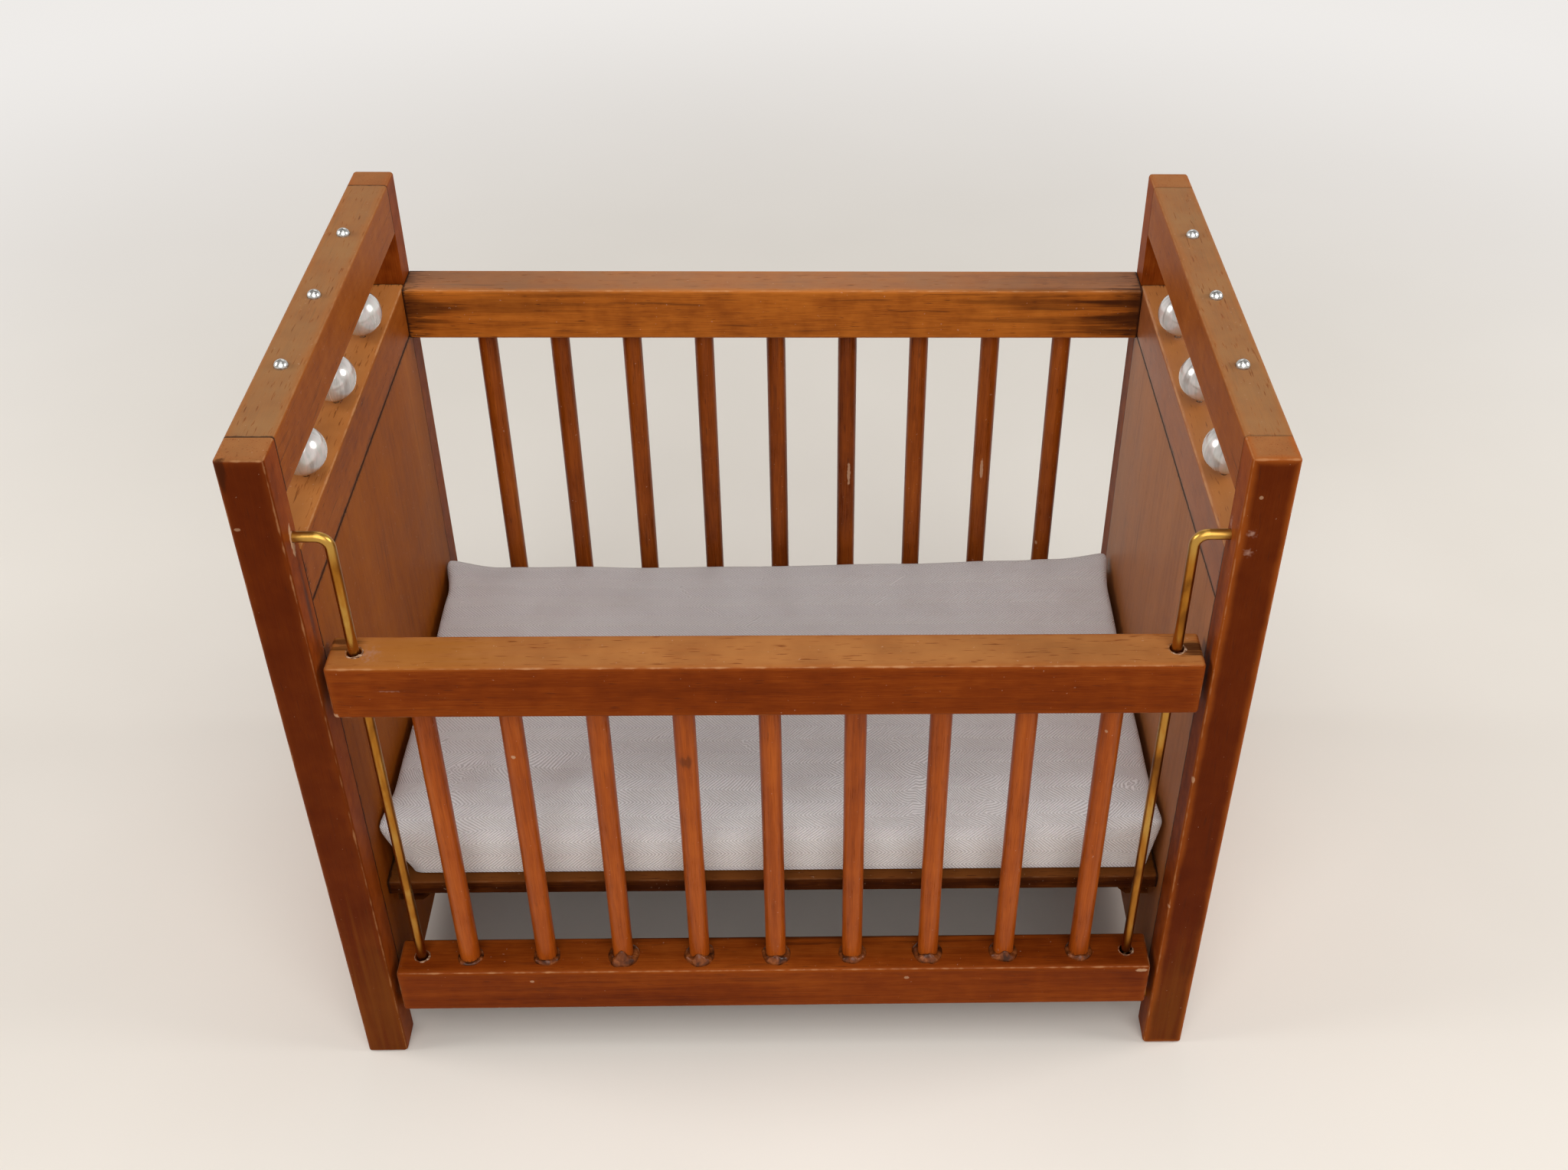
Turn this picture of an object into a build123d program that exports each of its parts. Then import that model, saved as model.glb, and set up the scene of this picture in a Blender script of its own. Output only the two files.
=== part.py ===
from build123d import *
from math import cos, radians, sin
import os

# Drop-side crib in one-inch (1:12) scale, built from stained wood, brass wire, steel pins and pearl beads.
# Millimetres. +X runs along the crib's length, +Y to its fixed back, +Z up.
# The origin is on the floor under the middle of the crib. The gate is modelled lowered.

# Overall size
LENGTH = 117.0
DEPTH = 72.0
HEIGHT = 102.0

# End frames: posts, top bar, middle rail and panel are flush, so they share one thickness
FRAME_THICKNESS = 5.5
POST_DEPTH = 4.5
BAR_HEIGHT = 7.5
PANEL_FLOOR_GAP = 4.0

# Beads and the headed pins that carry them
BEAD_COUNT = 3
BEAD_DIAMETER = 6.2
BEAD_HEIGHT = 6.1
BEAD_END_DISTANCE = 14.9
BEAD_BOTTOM_GAP = 0.6
BEAD_TOP_GAP = 1.0
PIN_DIAMETER = 0.7
PIN_HEAD_DIAMETER = 1.8
PIN_HEAD_HEIGHT = 0.9
PIN_SEAT = 4.0

# Slatted sides: the fixed back and the gate are the same ladder of two rails and round dowels
RAIL_HEIGHT = 7.9
RAIL_DEPTH = 6.2
RAIL_INSET = 0.2
DOWEL_COUNT = 9
DOWEL_DIAMETER = 2.8
DOWEL_TENON = 3.5

# Gate and the bent rods that it slides on
GATE_FLOOR_GAP = 9.0
GATE_TRAVEL = 14.4
GATE_END_GAP = 0.8
ROD_DIAMETER = 1.3
ROD_HOLE_DIAMETER = 1.8
ROD_BEND_RADIUS = 1.5
ROD_STANDOFF = 3.9
ROD_SEAT = 3.5
ROD_HEADROOM = 1.2
ROD_STOP_GAP = 0.1

# Sleeping platform and the cleats under its ends
PLATFORM_STEP = 3.3
PLATFORM_THICKNESS = 2.5
PLATFORM_FRONT_GAP = 0.5
PLATFORM_FIT = 0.1
CLEAT_WIDTH = 4.5
CLEAT_HEIGHT = 5.0
CLEAT_SET_BACK = 3.5
CLEAT_CHAMFER = 1.2

# Mattress: a wrapped pad with rounded corners, sides drawn in and a low crown
MATTRESS_THICKNESS = 10.8
MATTRESS_END_GAP = 0.6
MATTRESS_BACK_GAP = 0.3
MATTRESS_FRONT_STEP = 1.5
MATTRESS_CORNER = 2.6
MATTRESS_DRAW_IN = 0.5
MATTRESS_ROUND = 2.4
MATTRESS_BASE_BEVEL = 1.0
MATTRESS_STEPS = 4
MATTRESS_CROWN = 0.7
MATTRESS_CROWN_INSET = 13.0
SOFT_GAP = 0.2

# Eased edges and glue clearances
POST_EDGE_RADIUS = 0.5
TOP_EDGE_RADIUS = 0.4
RAIL_EDGE_RADIUS = 0.5
FOOT_CHAMFER = 0.3
SEAM_EASE = 0.12
GLUE_FIT = 0.05
RUNNING_FIT = 0.06

# Places that follow from the sizes above
INNER_X = LENGTH / 2 - FRAME_THICKNESS
FRAME_X = LENGTH / 2 - FRAME_THICKNESS / 2
INNER_Y = DEPTH / 2 - POST_DEPTH
RAIL_Y = DEPTH / 2 - RAIL_INSET - RAIL_DEPTH / 2
RAIL_INNER_Y = RAIL_Y - RAIL_DEPTH / 2
WINDOW_TOP = HEIGHT - BAR_HEIGHT
BEAD_LOW = WINDOW_TOP - BEAD_TOP_GAP - BEAD_HEIGHT
SIDE_TOP = BEAD_LOW - BEAD_BOTTOM_GAP
PANEL_TOP = SIDE_TOP - BAR_HEIGHT
GATE_TOP = SIDE_TOP - GATE_TRAVEL
DOWEL_CLEAR = GATE_TOP - GATE_FLOOR_GAP - 2 * RAIL_HEIGHT
DOWEL_PITCH = 2 * INNER_X / (DOWEL_COUNT + 1)
BEAD_PITCH = 2 * (INNER_Y - BEAD_END_DISTANCE) / (BEAD_COUNT - 1)
ROD_X = INNER_X - ROD_STANDOFF
ROD_HIGH = SIDE_TOP + ROD_HEADROOM + ROD_BEND_RADIUS
ROD_LOW = GATE_FLOOR_GAP - ROD_STOP_GAP - ROD_BEND_RADIUS
PLATFORM_TOP = GATE_FLOOR_GAP + GATE_TRAVEL + RAIL_HEIGHT - PLATFORM_STEP
PLATFORM_FRONT = -RAIL_INNER_Y + PLATFORM_FRONT_GAP
PLATFORM_LOW = PLATFORM_TOP - PLATFORM_THICKNESS

SIDES = {"left": -1, "right": 1}
ENDS = {"front": -1, "back": 1}
NEAR = 0.01


def block(x, y, z):
    """Returns a box that spans three (low, high) pairs, given in either order."""
    spans = [sorted(pair) for pair in (x, y, z)]
    middle = [(low + high) / 2 for low, high in spans]
    return Pos(*middle) * Box(*(high - low for low, high in spans))


def ease_ends(part, axis, size):
    """Breaks the edges round the two end faces that lie furthest along an axis."""
    for index in (0, -1):
        part = chamfer(part.faces().sort_by(axis)[index].edges(), size)
    return part


def upright(x, y, z, diameter):
    """Returns a round bar that stands at (x, y) between two heights."""
    low, high = z
    return Pos(x, y, (low + high) / 2) * Cylinder(diameter / 2, high - low)


def dowel_places():
    """Returns the X of each dowel, evenly spaced between the end frames."""
    return [(index + 1) * DOWEL_PITCH - INNER_X for index in range(DOWEL_COUNT)]


def bead_places():
    """Returns the Y of each bead, front to back."""
    return [index * BEAD_PITCH - (INNER_Y - BEAD_END_DISTANCE) for index in range(BEAD_COUNT)]


def post(side, end):
    """Returns a corner post with eased outer edges, bored for the rod's legs if it is a front one."""
    span_x = (side * INNER_X, side * LENGTH / 2)
    span_y = (end * INNER_Y, end * DEPTH / 2)
    body = block(span_x, span_y, (0, HEIGHT))

    def is_outer(edge):
        return end * edge.center().Y > DEPTH / 2 - NEAR

    def is_open(edge):
        return end * edge.center().Y > INNER_Y + NEAR

    uprights = body.edges().filter_by(Axis.Z)
    body = fillet(uprights.filter_by(is_outer), POST_EDGE_RADIUS)
    body = fillet(body.faces().sort_by(Axis.Z)[-1].edges().filter_by(is_open), TOP_EDGE_RADIUS)
    body = chamfer(body.faces().sort_by(Axis.Z)[0].edges(), FOOT_CHAMFER)
    if end == ENDS["front"]:
        for leg in (ROD_LOW, ROD_HIGH):
            body -= rod_hole(side, leg)
    return body


def rod_hole(side, leg):
    """Returns the blind hole that a rod's leg is pressed into."""
    depth = ROD_SEAT + GLUE_FIT
    bore = Cylinder(ROD_DIAMETER / 2 + GLUE_FIT, 2 * depth)
    return Pos(side * INNER_X, -RAIL_Y, leg) * Rot(0, 90, 0) * bore


def frame_bar(side, low, high, crisp_below):
    """Returns a bar between the posts of one end frame; a crisp lower edge meets the panel."""
    span_x = (side * INNER_X, side * LENGTH / 2)
    body = block(span_x, (-INNER_Y, INNER_Y), (low, high))
    along = body.edges().filter_by(Axis.Y)
    upper = along.group_by(Axis.Z)[-1]
    lower = along.group_by(Axis.Z)[0]
    body = fillet(upper if crisp_below else upper + lower, TOP_EDGE_RADIUS)
    if crisp_below:
        body = chamfer(body.faces().sort_by(Axis.Z)[0].edges().filter_by(Axis.Y), SEAM_EASE)
    return ease_ends(body, Axis.Y, SEAM_EASE)


def pin_bore(side, place, low, high):
    """Returns the hole that a bead's pin is driven through."""
    return upright(side * FRAME_X, place, (low, high), PIN_DIAMETER + 2 * GLUE_FIT)


def top_bar(side):
    """Returns the bar across the top of an end frame, bored for the pins."""
    body = frame_bar(side, WINDOW_TOP, HEIGHT, False)
    for place in bead_places():
        body -= pin_bore(side, place, WINDOW_TOP, HEIGHT)
    return body


def middle_rail(side):
    """Returns the rail under the beads, with blind holes for the pins' tips."""
    body = frame_bar(side, PANEL_TOP, SIDE_TOP, True)
    for place in bead_places():
        body -= pin_bore(side, place, SIDE_TOP - PIN_SEAT - GLUE_FIT, SIDE_TOP)
    return body


def end_panel(side):
    """Returns the flush board below the middle rail."""
    span_x = (side * INNER_X, side * LENGTH / 2)
    body = block(span_x, (-INNER_Y, INNER_Y), (PANEL_FLOOR_GAP, PANEL_TOP))
    return ease_ends(body, Axis.X, SEAM_EASE)


def bead(side, place):
    """Returns a round bead, flattened and bored at its poles to turn on its pin."""
    middle = BEAD_LOW + BEAD_HEIGHT / 2
    body = Sphere(BEAD_DIAMETER / 2) & Box(BEAD_DIAMETER, BEAD_DIAMETER, BEAD_HEIGHT)
    body -= Cylinder(PIN_DIAMETER / 2 + RUNNING_FIT, BEAD_HEIGHT)
    return Pos(side * FRAME_X, place, middle) * body


def bead_pin(side, place):
    """Returns a pin with a domed head on the top bar and its tip in the middle rail."""
    half = PIN_HEAD_DIAMETER / 2
    ball = (half**2 + PIN_HEAD_HEIGHT**2) / (2 * PIN_HEAD_HEIGHT)
    dome = Pos(0, 0, PIN_HEAD_HEIGHT - ball) * Sphere(ball)
    dome &= Pos(0, 0, PIN_HEAD_HEIGHT / 2) * Box(2 * ball, 2 * ball, PIN_HEAD_HEIGHT)
    shank = upright(0, 0, (SIDE_TOP - PIN_SEAT - HEIGHT, 0), PIN_DIAMETER)
    return Pos(side * FRAME_X, place, HEIGHT) * (dome + shank)


def side_rail(half_length, y, low, mouth, has_glued_ends):
    """Returns a rail of a slatted side; its blind dowel holes open at the height called mouth."""
    span_y = (y - RAIL_DEPTH / 2, y + RAIL_DEPTH / 2)
    body = block((-half_length, half_length), span_y, (low, low + RAIL_HEIGHT))
    if has_glued_ends:
        body = fillet(body.edges().filter_by(Axis.X), RAIL_EDGE_RADIUS)
        body = ease_ends(body, Axis.X, SEAM_EASE)
    else:
        body = fillet(body.edges(), RAIL_EDGE_RADIUS)
    reach = DOWEL_TENON + GLUE_FIT
    for x in dowel_places():
        body -= upright(x, y, (mouth - reach, mouth + reach), DOWEL_DIAMETER + 2 * GLUE_FIT)
    return body


def slatted_side(name, y, low, half_length, has_glued_ends):
    """Returns the nodes of one slatted side: two rails and a row of dowels glued between them."""
    foot = low + RAIL_HEIGHT
    head = foot + DOWEL_CLEAR
    nodes = {
        f"{name}_top_rail": side_rail(half_length, y, head, head, has_glued_ends),
        f"{name}_bottom_rail": side_rail(half_length, y, low, foot, has_glued_ends),
    }
    for number, x in enumerate(dowel_places(), 1):
        span = (foot - DOWEL_TENON, head + DOWEL_TENON)
        nodes[f"{name}_dowel_{number}"] = upright(x, y, span, DOWEL_DIAMETER)
    return nodes


def gate():
    """Returns the drop gate's nodes, lowered, with the holes that its rails slide on."""
    nodes = slatted_side("gate", -RAIL_Y, GATE_FLOOR_GAP, INNER_X - GATE_END_GAP, False)
    for name in ("gate_top_rail", "gate_bottom_rail"):
        for side in SIDES.values():
            nodes[name] -= upright(side * ROD_X, -RAIL_Y, (0, HEIGHT), ROD_HOLE_DIAMETER)
    return nodes


def gate_rod(side):
    """Returns a wire bent at both ends, its legs pressed into the front post."""
    leg_end = side * (INNER_X + ROD_SEAT)
    route = FilletPolyline(
        (leg_end, -RAIL_Y, ROD_HIGH),
        (side * ROD_X, -RAIL_Y, ROD_HIGH),
        (side * ROD_X, -RAIL_Y, ROD_LOW),
        (leg_end, -RAIL_Y, ROD_LOW),
        radius=ROD_BEND_RADIUS,
    )
    section = Plane(origin=route @ 0, z_dir=route % 0) * Circle(ROD_DIAMETER / 2)
    return sweep(section, path=route)


def platform_board():
    """Returns the board that the mattress lies on, between the ends and against the back rail."""
    half = INNER_X - PLATFORM_FIT
    span_y = (PLATFORM_FRONT, RAIL_INNER_Y - PLATFORM_FIT)
    body = block((-half, half), span_y, (PLATFORM_LOW, PLATFORM_TOP))
    front = body.edges().filter_by(Axis.X).group_by(Axis.Y)[0]
    return fillet(front, RAIL_EDGE_RADIUS)


def platform_cleat(side):
    """Returns the strip glued to an end panel that carries the platform's end."""
    span_x = (side * INNER_X, side * (INNER_X - CLEAT_WIDTH))
    span_y = (PLATFORM_FRONT + CLEAT_SET_BACK, RAIL_INNER_Y - PLATFORM_FIT)
    body = block(span_x, span_y, (PLATFORM_LOW - CLEAT_HEIGHT, PLATFORM_LOW))

    def is_inside(edge):
        return side * edge.center().X < INNER_X - CLEAT_WIDTH + NEAR

    low_edges = body.edges().filter_by(Axis.Y).group_by(Axis.Z)[0]
    return chamfer(low_edges.filter_by(is_inside), CLEAT_CHAMFER)


def mattress_outline(half_x, half_y, inset, height):
    """Returns a plan outline of the mattress: four inward-bowed sides joined by corner arcs."""
    x = half_x - inset
    y = half_y - inset
    corner = MATTRESS_CORNER
    lean = corner * (1 - 0.5**0.5)
    signs = ((1, 1), (-1, 1), (-1, -1), (1, -1))
    starts = ((x, y - corner), (corner - x, y), (-x, corner - y), (x - corner, -y))
    ends = ((x - corner, y), (-x, y - corner), (corner - x, -y), (x, corner - y))
    bow_x = x - MATTRESS_DRAW_IN
    bow_y = y - MATTRESS_DRAW_IN
    bows = ((0, bow_y), (-bow_x, 0), (0, -bow_y), (bow_x, 0))
    edges = []
    for index, (sign_x, sign_y) in enumerate(signs):
        tip = (sign_x * (x - lean), sign_y * (y - lean))
        edges.append(ThreePointArc(starts[index], tip, ends[index]))
        edges.append(ThreePointArc(ends[index], bows[index], starts[(index + 1) % len(signs)]))
    return Pos(0, 0, height) * make_face(edges)


def mattress_levels():
    """Returns the (inset, height) of each outline: bevelled base, rounded shoulder, low crown."""
    shoulder = MATTRESS_THICKNESS - MATTRESS_CROWN
    levels = [(MATTRESS_BASE_BEVEL, 0), (0, MATTRESS_BASE_BEVEL)]
    for step in range(MATTRESS_STEPS + 1):
        turn = radians(90 * step / MATTRESS_STEPS)
        levels.append((MATTRESS_ROUND * (1 - cos(turn)), shoulder - MATTRESS_ROUND * (1 - sin(turn))))
    for step in range(1, MATTRESS_STEPS + 1):
        share = step / MATTRESS_STEPS
        inset = MATTRESS_ROUND + share * (MATTRESS_CROWN_INSET - MATTRESS_ROUND)
        levels.append((inset, shoulder + MATTRESS_CROWN * (1 - (1 - share) ** 2)))
    return levels


def mattress():
    """Returns the mattress, lofted through plan outlines from its flat base to its low crown."""
    front = PLATFORM_FRONT + MATTRESS_FRONT_STEP
    back = RAIL_INNER_Y - MATTRESS_BACK_GAP
    half_x = INNER_X - MATTRESS_END_GAP
    half_y = (back - front) / 2
    outlines = [mattress_outline(half_x, half_y, inset, height) for inset, height in mattress_levels()]
    return Pos(0, (front + back) / 2, PLATFORM_TOP + SOFT_GAP) * loft(outlines, ruled=True)


def crib():
    """Returns every node of the crib by name."""
    nodes = {}
    for side_name, side in SIDES.items():
        for end_name, end in ENDS.items():
            nodes[f"{side_name}_{end_name}_post"] = post(side, end)
        nodes[f"{side_name}_top_bar"] = top_bar(side)
        nodes[f"{side_name}_middle_rail"] = middle_rail(side)
        nodes[f"{side_name}_end_panel"] = end_panel(side)
        nodes[f"{side_name}_platform_cleat"] = platform_cleat(side)
        nodes[f"{side_name}_gate_rod"] = gate_rod(side)
        for number, place in enumerate(bead_places(), 1):
            nodes[f"{side_name}_bead_{number}"] = bead(side, place)
            nodes[f"{side_name}_bead_pin_{number}"] = bead_pin(side, place)
    nodes.update(slatted_side("back", RAIL_Y, GATE_FLOOR_GAP + GATE_TRAVEL, INNER_X, True))
    nodes.update(gate())
    nodes["platform_board"] = platform_board()
    nodes["mattress"] = mattress()
    return nodes


os.makedirs("parts", exist_ok=True)
for node_name, solid in crib().items():
    export_step(solid, f"parts/{node_name}.step")
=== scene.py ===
"""Looks of a miniature drop-side crib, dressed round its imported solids.

Places are in metres, in the frame of the solids: +X along the crib, +Y to its fixed back, +Z up, and the
floor at Z = 0. Finishes are written in millimetres, the unit in which grain, wear and weave are measured.
"""

import logging
import math
from abc import ABC, abstractmethod
from dataclasses import dataclass, field
from enum import Enum
from typing import Any, Callable, Iterable, Sequence

import bpy
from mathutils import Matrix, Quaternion, Vector, noise


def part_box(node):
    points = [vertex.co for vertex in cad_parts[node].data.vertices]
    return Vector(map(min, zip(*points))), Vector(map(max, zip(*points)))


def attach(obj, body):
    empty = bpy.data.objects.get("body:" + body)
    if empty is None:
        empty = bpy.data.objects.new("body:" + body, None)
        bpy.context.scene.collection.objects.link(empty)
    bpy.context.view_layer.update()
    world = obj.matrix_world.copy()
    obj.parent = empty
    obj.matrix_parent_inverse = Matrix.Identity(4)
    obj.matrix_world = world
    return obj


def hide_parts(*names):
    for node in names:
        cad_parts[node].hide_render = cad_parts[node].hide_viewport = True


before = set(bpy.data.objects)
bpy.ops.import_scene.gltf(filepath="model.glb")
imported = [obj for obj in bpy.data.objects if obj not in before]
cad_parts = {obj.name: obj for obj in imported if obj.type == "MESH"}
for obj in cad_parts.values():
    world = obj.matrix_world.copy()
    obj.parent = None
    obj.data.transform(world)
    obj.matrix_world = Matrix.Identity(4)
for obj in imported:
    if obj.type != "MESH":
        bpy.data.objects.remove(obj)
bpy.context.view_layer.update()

Colour = tuple[float, float, float]
Triple = tuple[float, float, float]
Band = tuple[float, float]
Socket = bpy.types.NodeSocket

MM = 0.001
FAR = 99.0
IMAGE_WIDTH = 2048
log = logging.getLogger("crib")


class Side(Enum):
    """An end of the crib, as seen from the gate."""

    LEFT = "left"
    RIGHT = "right"


class Grain(Enum):
    """The axis that the wood's grain follows, as an index into a point."""

    ALONG_X = 0
    ALONG_Y = 1
    ALONG_Z = 2


class Face(Enum):
    """A face of a squared piece: its axis, and whether it is the high one."""

    LEFT = (0, False)
    RIGHT = (0, True)
    FRONT = (1, False)
    BACK = (1, True)
    UNDER = (2, False)
    TOP = (2, True)


class Graph:
    """A node tree, with a short method for each node that the finishes and the world share."""

    def __init__(self, tree: bpy.types.NodeTree) -> None:
        """Takes over a tree with the nodes that it starts with."""
        self.tree = tree

    def add(self, kind: str, **settings: Any) -> bpy.types.Node:
        """Adds a node.

        Args:
            kind: The node's type.
            settings: Its properties by name.

        Returns:
            The new node.
        """
        made = self.tree.nodes.new(kind)
        for name, value in settings.items():
            setattr(made, name, value)
        return made

    def feed(self, socket: Socket, value: Any) -> None:
        """Links a socket to an input, or sets the input.

        Args:
            socket: The input.
            value: A socket, or a number, vector or colour.
        """
        if isinstance(value, bpy.types.NodeSocket):
            self.tree.links.new(value, socket)
        elif isinstance(value, tuple) and socket.type == "RGBA":
            socket.default_value = (*value, 1.0)
        else:
            socket.default_value = value

    def math(self, operation: str, *values: Any) -> Socket:
        """Adds a Math node.

        Args:
            operation: What the node works out.
            values: Its inputs in order.

        Returns:
            Its result.
        """
        made = self.add("ShaderNodeMath", operation=operation)
        for socket, value in zip(made.inputs, values):
            self.feed(socket, value)
        return made.outputs[0]

    def vector(self, operation: str, *values: Any) -> Socket:
        """Adds a Vector Math node.

        Args:
            operation: What the node works out.
            values: Its inputs in order.

        Returns:
            Its result: a number for a length or a distance, and else a vector.
        """
        made = self.add("ShaderNodeVectorMath", operation=operation)
        for socket, value in zip(made.inputs, values):
            self.feed(socket, value)
        return made.outputs["Value" if operation in ("LENGTH", "DISTANCE") else "Vector"]

    def axes(self, vector: Socket) -> list[Socket]:
        """Splits a vector.

        Args:
            vector: The vector.

        Returns:
            Its three components.
        """
        made = self.add("ShaderNodeSeparateXYZ")
        self.feed(made.inputs[0], vector)
        return list(made.outputs)

    def noise(self, place: Socket, scale: Triple, detail: float = 2.0, warp: float = 0.0) -> Socket:
        """Returns a noise pattern.

        Args:
            place: The point in millimetres.
            scale: Features per millimetre on each axis.
            detail: How many finer layers are added.
            warp: How far the pattern is distorted.

        Returns:
            A value near 0.5.
        """
        made = self.add("ShaderNodeTexNoise")
        self.feed(made.inputs["Vector"], self.vector("MULTIPLY", place, scale))
        made.inputs["Scale"].default_value = 1.0
        made.inputs["Detail"].default_value = detail
        made.inputs["Distortion"].default_value = warp
        return made.outputs["Fac"]

    def step(self, value: Any, start: float, end: float) -> Socket:
        """Returns a smooth step.

        Args:
            value: The value to test.
            start: Where the result is 0.
            end: Where the result is 1; it may lie below start.

        Returns:
            A value from 0 to 1.
        """
        made = self.add("ShaderNodeMapRange", interpolation_type="SMOOTHSTEP")
        self.feed(made.inputs["Value"], value)
        made.inputs["From Min"].default_value = min(start, end)
        made.inputs["From Max"].default_value = max(start, end)
        made.inputs["To Min"].default_value = 0.0 if start < end else 1.0
        made.inputs["To Max"].default_value = 1.0 if start < end else 0.0
        return made.outputs["Result"]

    def rise(self, value: Any, low: Any, high: Any) -> Socket:
        """Runs evenly from one value to another while the input runs from 0 to 1.

        Args:
            value: The input.
            low: The result at 0.
            high: The result at 1.

        Returns:
            The value in between.
        """
        made = self.add("ShaderNodeMapRange")
        for name, given in (("Value", value), ("To Min", low), ("To Max", high)):
            self.feed(made.inputs[name], given)
        return made.outputs["Result"]

    def seen(self) -> Socket:
        """Tells the rays that show a surface from those that only light others.

        Returns:
            1 for the rays of the camera, of reflections and of glass, and 0 for the others.
        """
        rays = self.add("ShaderNodeLightPath")
        seen = rays.outputs["Is Camera Ray"]
        for kind in ("Is Glossy Ray", "Is Transmission Ray"):
            seen = self.math("MAXIMUM", seen, rays.outputs[kind])
        return seen

    def blend(self, parts: Sequence[tuple[Socket, float]]) -> Socket:
        """Adds up several values by weight.

        Args:
            parts: Pairs of a value and its weight.

        Returns:
            The weighted sum.
        """
        total = self.math("MULTIPLY", *parts[0])
        for value, weight in parts[1:]:
            total = self.math("MULTIPLY_ADD", value, weight, total)
        return total

    def ramp(self, factor: Socket, stops: Sequence[tuple[float, Colour]]) -> Socket:
        """Runs a colour through stops.

        Args:
            factor: The value that picks the colour.
            stops: Pairs of a position and its colour, in order.

        Returns:
            The colour.
        """
        made = self.add("ShaderNodeValToRGB")
        elements = made.color_ramp.elements
        while len(elements) < len(stops):
            elements.new(0.5)
        for element, (position, colour) in zip(elements, stops):
            element.position = position
            element.color = (*colour, 1.0)
        self.feed(made.inputs["Fac"], factor)
        return made.outputs["Color"]

    def mix(self, factor: Any, first: Any, second: Any) -> Socket:
        """Mixes two colours.

        Args:
            factor: The second colour's share, from 0 to 1.
            first: The colour at 0.
            second: The colour at 1.

        Returns:
            The mixed colour.
        """
        made = self.add("ShaderNodeMix", data_type="RGBA")
        self.feed(made.inputs["Factor"], factor)
        self.feed(next(s for s in made.inputs if s.identifier == "A_Color"), first)
        self.feed(next(s for s in made.inputs if s.identifier == "B_Color"), second)
        return next(s for s in made.outputs if s.identifier == "Result_Color")


class FinishGraph(Graph):
    """The node tree of one finish, which ends in one Principled shader."""

    def __init__(self, name: str) -> None:
        """Starts a material.

        Args:
            name: The material's name.
        """
        self.material = bpy.data.materials.new(name)
        self.material.use_nodes = True
        super().__init__(self.material.node_tree)
        self.shader = self.tree.nodes["Principled BSDF"]

    def place(self) -> Socket:
        """Returns the point of the surface in millimetres."""
        made = self.add("ShaderNodeTexCoord")
        return self.vector("DIVIDE", made.outputs["Object"], (MM, MM, MM))

    def surface(self, **inputs: Any) -> None:
        """Sets or links the shader's inputs; an underscore in a name stands for a space."""
        for name, value in inputs.items():
            self.feed(self.shader.inputs[name.replace("_", " ")], value)

    def bump(self, height: Socket, depth: float, strength: float) -> None:
        """Gives the shader a bump.

        Args:
            height: The pattern that is raised.
            depth: How far it is raised, in millimetres.
            strength: How strongly it shows, from 0 to 1.
        """
        made = self.add("ShaderNodeBump")
        made.inputs["Distance"].default_value = depth * MM
        made.inputs["Strength"].default_value = strength
        self.feed(made.inputs["Height"], height)
        self.feed(self.shader.inputs["Normal"], made.outputs["Normal"])


class Mark(Enum):
    """A mark on stained wood: its colour, its rim as a share of its size, and what breaks it up.

    What breaks it up is a pattern of the grain, by name, and the pattern's weight. Besides wear and stain,
    some marks paint sheen, bounce light and shadow.
    """

    BARE = ((0.60, 0.37, 0.22), 0.3, "ragged", 1.2)
    SMUDGE = ((0.42, 0.24, 0.18), 1.3, "speck", 2.0)
    DARK = ((0.040, 0.009, 0.002), 0.9, "streak", 4.0)
    # Painted sheen: a grey-blue line of reflected light down the posts' inner faces
    RUB = ((0.085, 0.050, 0.042), 1.2, "streak", 2.5)
    # Amber: a warmer patch on the gate's top rail, and painted bounce light from the floor on the posts'
    # lower fronts
    AMBER = ((0.40, 0.140, 0.018), 1.2, "streak", 2.0)


@dataclass(frozen=True)
class Spot:
    """A marked place on a piece: its middle and its half sizes, in millimetres."""

    mark: Mark
    middle: Triple
    reach: Triple
    strength: float = 0.85


@dataclass(frozen=True)
class WoodTone:
    """The colours of a stained piece, from its dark streaks to its light ones, and how it is varnished."""

    dark: Colour
    mid: Colour
    light: Colour
    streaks: float = 0.14
    flecks: float = 0.6
    roughness: float = 0.50
    gloss: float = 0.12


POST_TONE = WoodTone(
    (0.096, 0.013, 0.001), (0.245, 0.046, 0.004), (0.38, 0.090, 0.011),
    streaks=0.05, flecks=0.35, gloss=0.05,
)
BAR_TONE = WoodTone(
    (0.15, 0.027, 0.003), (0.30, 0.074, 0.008), (0.41, 0.122, 0.018),
    streaks=0.12, flecks=0.6, gloss=0.08,
)
PANEL_TONE = WoodTone(
    (0.19, 0.042, 0.004), (0.31, 0.080, 0.007), (0.40, 0.118, 0.013),
    streaks=0.18, flecks=0.5, gloss=0.05,
)
# The right end's panel and middle rail: paler, greyer copies of the left end's tones, with their sheen
# painted in
SHEEN_PAINTED_PANEL_TONE = WoodTone(
    (0.25, 0.078, 0.023), (0.38, 0.138, 0.042), (0.46, 0.182, 0.060),
    streaks=0.18, flecks=0.45, roughness=0.45, gloss=0.17,
)
SHEEN_PAINTED_BAR_TONE = WoodTone(
    (0.16, 0.040, 0.010), (0.30, 0.088, 0.024), (0.40, 0.135, 0.040),
    streaks=0.10, flecks=0.5, roughness=0.42, gloss=0.35,
)
GATE_TONE = WoodTone(
    (0.098, 0.013, 0.001), (0.21, 0.037, 0.003), (0.33, 0.074, 0.008),
    streaks=0.20, flecks=0.45, gloss=0.06,
)
BACK_TONE = WoodTone(
    (0.16, 0.030, 0.003), (0.44, 0.122, 0.013), (0.60, 0.190, 0.023),
    streaks=0.14, flecks=0.8,
)
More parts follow.
